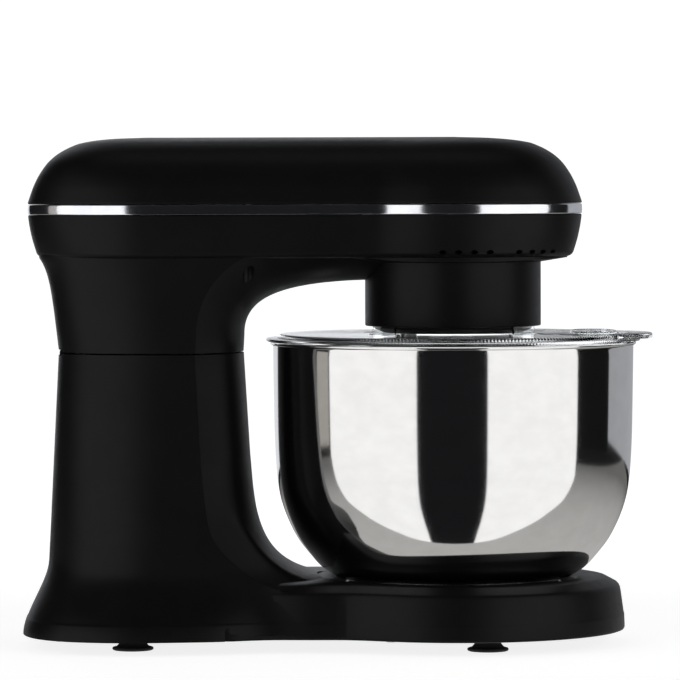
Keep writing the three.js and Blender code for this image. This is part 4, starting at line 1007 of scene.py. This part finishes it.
def make_bowl():
    thickness = 0.9
    side = spline(BOWL_SIDE, 6)
    inner = []
    for (r0, z0), (r1, z1) in zip(side, side[1:]):
        inwards = thickness / math.hypot(r1 - r0, z1 - z0)
        inner.append([(r0 + r1) / 2 - inwards * (z1 - z0), (z0 + z1) / 2 + inwards * (r1 - r0)])
    bead_r = 1.04
    bead = [[106.1, 175.2]] + arc((BOWL_BEAD_R - bead_r, BOWL_RIM_TOP - bead_r), bead_r, -65, 190, 14)
    floor = [[0, 38.4], [40, 38.1], [50, 37.1]]
    profile = floor + side + bead + list(reversed(inner)) + [[40, 39.1], [0, 39.4]]
    bowl = turned("bowl_shell", profile, (BOWL_X, 0), 256)
    place(bowl, "bowl", POLISHED, "polished_steel", "bowl", angle=50)


# ---- splash lid ---------------------------------------------------------------------------

def make_splash_lid():
    z = BOWL_RIM_TOP + GAP
    thick, ribs = 1.8, 310
    profile = [[43.4, LID_TOP - thick], [96.6, LID_TOP - thick], [99.4, LID_TOP - thick - 1], [100.6, z]]
    profile += [[101.6, z - 0.4], [101.7, 171.9], [102.2, 171.6], [102.9, 171.9], [103.4, z - 0.6], [104, z]]
    profile += [[LID_R - 0.4, z], [LID_R, z + 0.5], [LID_R - 0.1, z + thick - 0.4], [LID_R - 0.8, z + thick]]
    profile += [[103.4, z + thick], [102.9, z + thick + 0.3], [102.6, 180.4], [102.2, 181.3]]
    profile += [[101.4, LID_TOP], [98.6, LID_TOP], [44.4, LID_TOP], [43.5, LID_TOP - 0.5]]
    lid = turned("splash_lid_shell", profile, (BOWL_X, 0), 6 * ribs, closed=True)
    for v in lid.data.vertices:
        x, y, height = v.co.x / MM - BOWL_X, v.co.y / MM, v.co.z / MM
        r = math.hypot(x, y)
        if 102.1 < r < 103.2 and height > 179.6:
            keep = 1 - 0.5 * (1 + math.cos(ribs * math.atan2(y, x))) / r
            v.co.x, v.co.y = (BOWL_X + x * keep) * MM, y * keep * MM
    chute_x, long, wide, wall = 150, LID_TAB_X - 150, 40, 2
    steps = 96

    def oval(a, b):
        turns = [2 * math.pi * i / steps for i in range(steps)]
        return [(chute_x + a * blunt(math.cos(t)), b * blunt(math.sin(t))) for t in turns]

    def blunt(value):
        return math.copysign(abs(value) ** 0.8, value)

    hole = (long * 0.4 - wall, wide * 0.72)
    tongue = prism("tongue", oval(long, wide), z + thick - 0.3, LID_TOP + 0.3)
    collar = prism("collar", oval(hole[0] * 1.16, hole[1] * 1.06), z + 0.01, 183.4)
    join(lid, soften(tongue, 0.5), soften(collar, 0.4))
    cut(lid, prism("feed_hole", oval(*hole), 160, 190))
    for angle in THIRDS:
        join(lid, ring_block("hook_root", 46.4, 50.6, angle, 34, LID_TOP - 1.1, LID_TOP + 0.4))
        join(lid, ring_block("hook", 47.6, 49.1, angle, 30, LID_TOP - 1, 191))
    place(lid, "lid", CLEAR, "clear_plastic", "splash_lid", angle=40)


def ring_block(name, r0, r1, degrees, width, low, high):
    steps = 16
    outline = []
    for r, turn in ((r1, 1), (r0, -1)):
        for i in range(steps + 1):
            a = math.radians(degrees + turn * width * (i / steps - 0.5))
            outline.append((BOWL_X + r * math.cos(a), r * math.sin(a)))
    return prism(name, outline, low, high)


# ---- controls -----------------------------------------------------------------------------

def face_far_side(obj):
    """Turns a piece made about the z axis to the knob's axis, with its z = 0 at the knob's seat."""
    to_seat = Matrix.Translation((KNOB[0] * MM, KNOB_SEAT_Y * MM, KNOB[1] * MM))
    obj.data.transform(to_seat @ Matrix.Rotation(math.radians(-90), 4, "X"))
    tidy_mesh(obj)
    return obj


def make_knob():
    edge = spline([[KNOB_R, 1.2], [KNOB_R - 0.3, 6.4], [KNOB_R - 1.4, 13.8]], 4)
    profile = [[0, 1], [KNOB_R - 0.4, 1]] + edge + arc((KNOB_R - 3, 13.8), 1.6, 0, 90, 6)[1:]
    knob = face_far_side(turned("knob_cap", profile + [[6, 15.3], [0, 15.2]], steps=160))
    grips = 20
    for i in range(grips):
        a = 2 * math.pi * i / grips
        at = (KNOB[0] + (KNOB_R + 0.6) * math.cos(a), KNOB[1] + (KNOB_R + 0.6) * math.sin(a))
        cut(knob, rod("grip", 1, 1.7, KNOB_SEAT_Y + 4.4, KNOB_SEAT_Y + 20, at, 20))
    mark = (KNOB[0] - 0.7, KNOB_SEAT_Y + 14.7, KNOB[1] + 8), (KNOB[0] + 0.7, KNOB_SEAT_Y + 18, KNOB[1] + 17)
    cut(knob, box("mark", *mark), rod("bore", 1, 3.3, KNOB_SEAT_Y - 1, KNOB_SEAT_Y + 9.4, KNOB, 32))
    place(knob, "knob", BLACK, "black_plastic", "speed_knob", angle=32)


def make_bezel():
    inner, outer = KNOB_R + 0.9, KNOB_R + 5
    ring = [[inner, GAP], [outer, GAP]] + arc((outer - 1.2, 2.8), 1.2, 0, 90, 6)
    ring += [[KNOB_R + 2, 4], [inner, 3.2]]
    bezel = face_far_side(turned("knob_bezel_ring", ring, steps=160, closed=True))
    place(bezel, "base", CHROME, "chrome_trim", "knob_bezel", angle=32)


def make_button():
    cap = rounded_block("release_cap", BUTTON, BUTTON_HALF, BUTTON_CORNER, 46.2, 60.8)
    soften(cap, 1.0, segments=3)
    join(cap, box("stem", (BUTTON[0] - 4, 22, BUTTON[1] - 3), (BUTTON[0] + 4, 48, BUTTON[1] + 3)))
    place(cap, "button", BLACK, "black_plastic", "release_button", angle=32)


# ---- beater -------------------------------------------------------------------------------

def quadratic(a, b, c, steps=12):
    out = []
    for i in range(1, steps + 1):
        t = i / steps
        out.append(tuple((1 - t) ** 2 * p + 2 * t * (1 - t) * q + t * t * r for p, q, r in zip(a, b, c)))
    return out


def make_beater():
    half = [(5, 146), (30, 134)] + quadratic((30, 134), (43, 127), (43, 112)) + [(43, 88)]
    half += quadratic((43, 88), (42, 48), (0, 44.5), 24)
    outline = half + [(-x, z) for x, z in reversed(half[:-1])]
    blade = prism("beater_blade", [(TOOL_X + x, z) for x, z in outline], -3.5, 3.5, 1)
    for side in (-1, 1):
        lower = [(4.5, 54.5)] + quadratic((4.5, 54.5), (34, 58), (35, 88), 16) + [(35, 96), (4.5, 76)]
        upper = [(4.5, 86), (35, 106), (35, 112)] + quadratic((35, 112), (35, 123), (26, 127.5), 8)
        upper.append((4.5, 137))
        for window in (lower, upper):
            cut(blade, prism("window", [(TOOL_X + side * x, z) for x, z in window], -8, 8, 1))
    socket_profile = [[0, 138], [7, 138], [9.5, 141], [9.5, 167], [8.7, 168], [0, 168]]
    socket = turned("socket", socket_profile, (TOOL_X, 0), 64)
    join(soften(blade, 1.4, segments=3), socket)
    cut(blade, rod("bore", 2, 4.9, 145, 169, (TOOL_X, 0), 48))
    cut(blade, box("slot", (TOOL_X - 12, -1.9, 160.8), (TOOL_X + 12, 1.9, 169)))
    place(blade, "tool", ALLOY, "alloy", "flat_beater", angle=32)


def make_tool_shaft():
    shaft = turned("beater_shaft", [[0, 147], [3.8, 147], [4.6, 148], [4.6, 210.6], [3.8, 211.6], [0, 211.6]],
                   (TOOL_X, 0), 64)
    cut(shaft, rod("bore", 0, 1.8, TOOL_X - 20, TOOL_X + 20, (0, 163), 32))
    place(shaft, "tool", STEEL, "plain_steel", "tool_shaft", angle=32)
    pin = soften(rod("beater_pin", 0, 1.5, TOOL_X - 8.5, TOOL_X + 8.5, (0, 163), 32), 0.3)
    place(pin, "tool", STEEL, "plain_steel", "drive_pin", angle=32)


# ---- stage --------------------------------------------------------------------------------

CAMERA_AT = (0.001, -2.85, 0.272)
CAMERA_AIM = (0.001, 0, 0.178)
CAMERA_LENS = 256.5
CAMERA_ROLL = -0.16


def make_camera():
    data = bpy.data.cameras.new("camera")
    data.sensor_width = 36
    data.lens = CAMERA_LENS
    data.clip_end = 50
    camera = bpy.data.objects.new("camera", data)
    bpy.context.scene.collection.objects.link(camera)
    camera.location = CAMERA_AT
    level = (Vector(CAMERA_AIM) - camera.location).to_track_quat("-Z", "Y").to_matrix()
    camera.rotation_euler = (level @ Matrix.Rotation(math.radians(CAMERA_ROLL), 3, "Z")).to_euler()
    bpy.context.scene.camera = camera


def ring_spot(azimuth, distance):
    """A point around the bowl's axis. Azimuth 0 is the camera's side and 90 is the head's front."""
    a = math.radians(azimuth)
    return BOWL_X * MM + distance * math.sin(a), -distance * math.cos(a)


def soft_box(name, azimuths, heights, distance, radiance, color=(1, 1, 1)):
    """An upright light that fills the view from the bowl between two azimuths and two heights."""
    middle, half = sum(azimuths) / 2, abs(azimuths[1] - azimuths[0]) / 2
    size = (2 * distance * math.tan(math.radians(half)), heights[1] - heights[0])
    flat_light(name, (*ring_spot(middle, distance), sum(heights) / 2), size, radiance, color,
               (math.radians(90), 0, math.radians(middle)))


def flat_light(name, location, size, radiance, color, rotation):
    data = bpy.data.lights.new(name, "AREA")
    data.shape = "RECTANGLE"
    data.size, data.size_y = size
    data.energy = radiance * math.pi * size[0] * size[1]
    data.color = color
    light = bpy.data.objects.new(name, data)
    bpy.context.scene.collection.objects.link(light)
    light.location = location
    light.rotation_euler = rotation
    light.visible_camera = False


def flag(name, azimuths, heights, distance):
    """An upright black card that the camera doesn't see, for the dark lines in the metal."""
    (x0, y0), (x1, y1) = (ring_spot(a, distance) for a in azimuths)
    low, high = heights
    corners = [(x0, y0, low), (x1, y1, low), (x1, y1, high), (x0, y0, high)]
    card = new_object(name, [[c / MM for c in v] for v in corners], [[0, 1, 2, 3]])
    s = Shader(name + "_cloth", (0.004, 0.004, 0.004), 0.95)
    card.data.materials.append(s.material)
    stage_only(card)


def stage_only(obj):
    obj.visible_camera = False
    obj.visible_shadow = False
    obj.visible_transmission = False


def make_world():
    """White behind the object for the camera and through the lid, and a dim room for everything else."""
    world = bpy.data.worlds.new("studio")
    world.use_nodes = True
    bpy.context.scene.world = world
    nodes, links = world.node_tree.nodes, world.node_tree.links
    white = nodes["Background"]
    white.inputs["Color"].default_value = (1, 1, 1, 1)
    white.inputs["Strength"].default_value = 1.05
    room = nodes.new("ShaderNodeBackground")
    room.inputs["Color"].default_value = (0.9, 0.9, 1, 1)
    room.inputs["Strength"].default_value = 0.012
    path = nodes.new("ShaderNodeLightPath")
    straight = nodes.new("ShaderNodeMath")
    straight.operation = "MAXIMUM"
    links.new(path.outputs["Is Camera Ray"], straight.inputs[0])
    links.new(path.outputs["Is Transmission Ray"], straight.inputs[1])
    mix = nodes.new("ShaderNodeMixShader")
    links.new(straight.outputs[0], mix.inputs[0])
    links.new(room.outputs[0], mix.inputs[1])
    links.new(white.outputs[0], mix.inputs[2])
    links.new(mix.outputs[0], nodes["World Output"].inputs["Surface"])


def plane(name, low, high, z, shader):
    corners = [[low[0], low[1], z], [high[0], low[1], z], [high[0], high[1], z], [low[0], high[1], z]]
    obj = new_object(name, corners, [[0, 1, 2, 3]])
    obj.data.materials.append(shader.material)
    return obj


def make_floor():
    far = 30000
    s = Shader("pale_floor", (0.5, 0.5, 0.5), 0.8)
    s.vary_roughness(s.noise(60, 2), 0.75, 0.85)
    s.set(Emission_Color=(1, 1, 1, 1), Specular_IOR_Level=0.0)
    s.radial("Emission Strength", (0, 0, 0), (0.3, 0.84), (1.5, 1.05))
    floor = plane("floor", (-far, -far), (far, far), 0, s)
    floor.visible_glossy = False
    # The table is seen only in reflections. Its glow is painted light: a painted pool of light, brightest
    # near the bowl and fading farther out.
    s = Shader("table_top_painted_light", (0.06, 0.06, 0.06), 0.8)
    s.vary_roughness(s.noise(40, 2), 0.75, 0.85)
    s.set(Emission_Color=(1, 0.99, 0.97, 1), Specular_IOR_Level=0.0)
    s.radial("Emission Strength", (BOWL_X * MM, 0, 0), (0.12, 0.52), (0.8, 0.14))
    table = plane("table", (-900, TABLE_FRONT), (900, 900), 0.2, s)
    table.visible_diffuse = False
    stage_only(table)


def make_stage():
    make_world()
    make_floor()
    make_camera()
    reach, above_floor, past_floor = 1.2, (0.0, 1.2), (-2.2, 1.1)
    soft_box("left_box", (-84, -23.4), past_floor, reach, 1.2)
    soft_box("right_box", (19.7, 82), past_floor, reach, 1.2)
    soft_box("left_wall", (-94.5, -84.5), above_floor, reach, 0.42, (1, 0.95, 0.88))
    soft_box("back_left", (-180, -143), above_floor, reach, 0.85, (0.94, 0.96, 1))
    soft_box("back_right", (113, 180), above_floor, reach, 0.42, (0.93, 0.95, 1))
    flag("flag", (82.5, 112.5), (0.002, 1.2), reach)
    flat_light("top_box", (0.0, 0.1, 1.4), (1.2, 0.7), 0.35, (1, 1, 1), (0, 0, 0))
    bpy.context.scene.view_settings.view_transform = "Standard"


# ---- the whole ----------------------------------------------------------------------------

dress_solids()
make_head_cover()
make_trim_band()
make_head_housing()
make_hub()
make_disc()
make_base_housing()
make_base_plate()
make_feet()
make_bowl_lock()
make_gland()
make_bowl()
make_splash_lid()
make_knob()
make_bezel()
make_button()
make_beater()
make_tool_shaft()
make_stage()
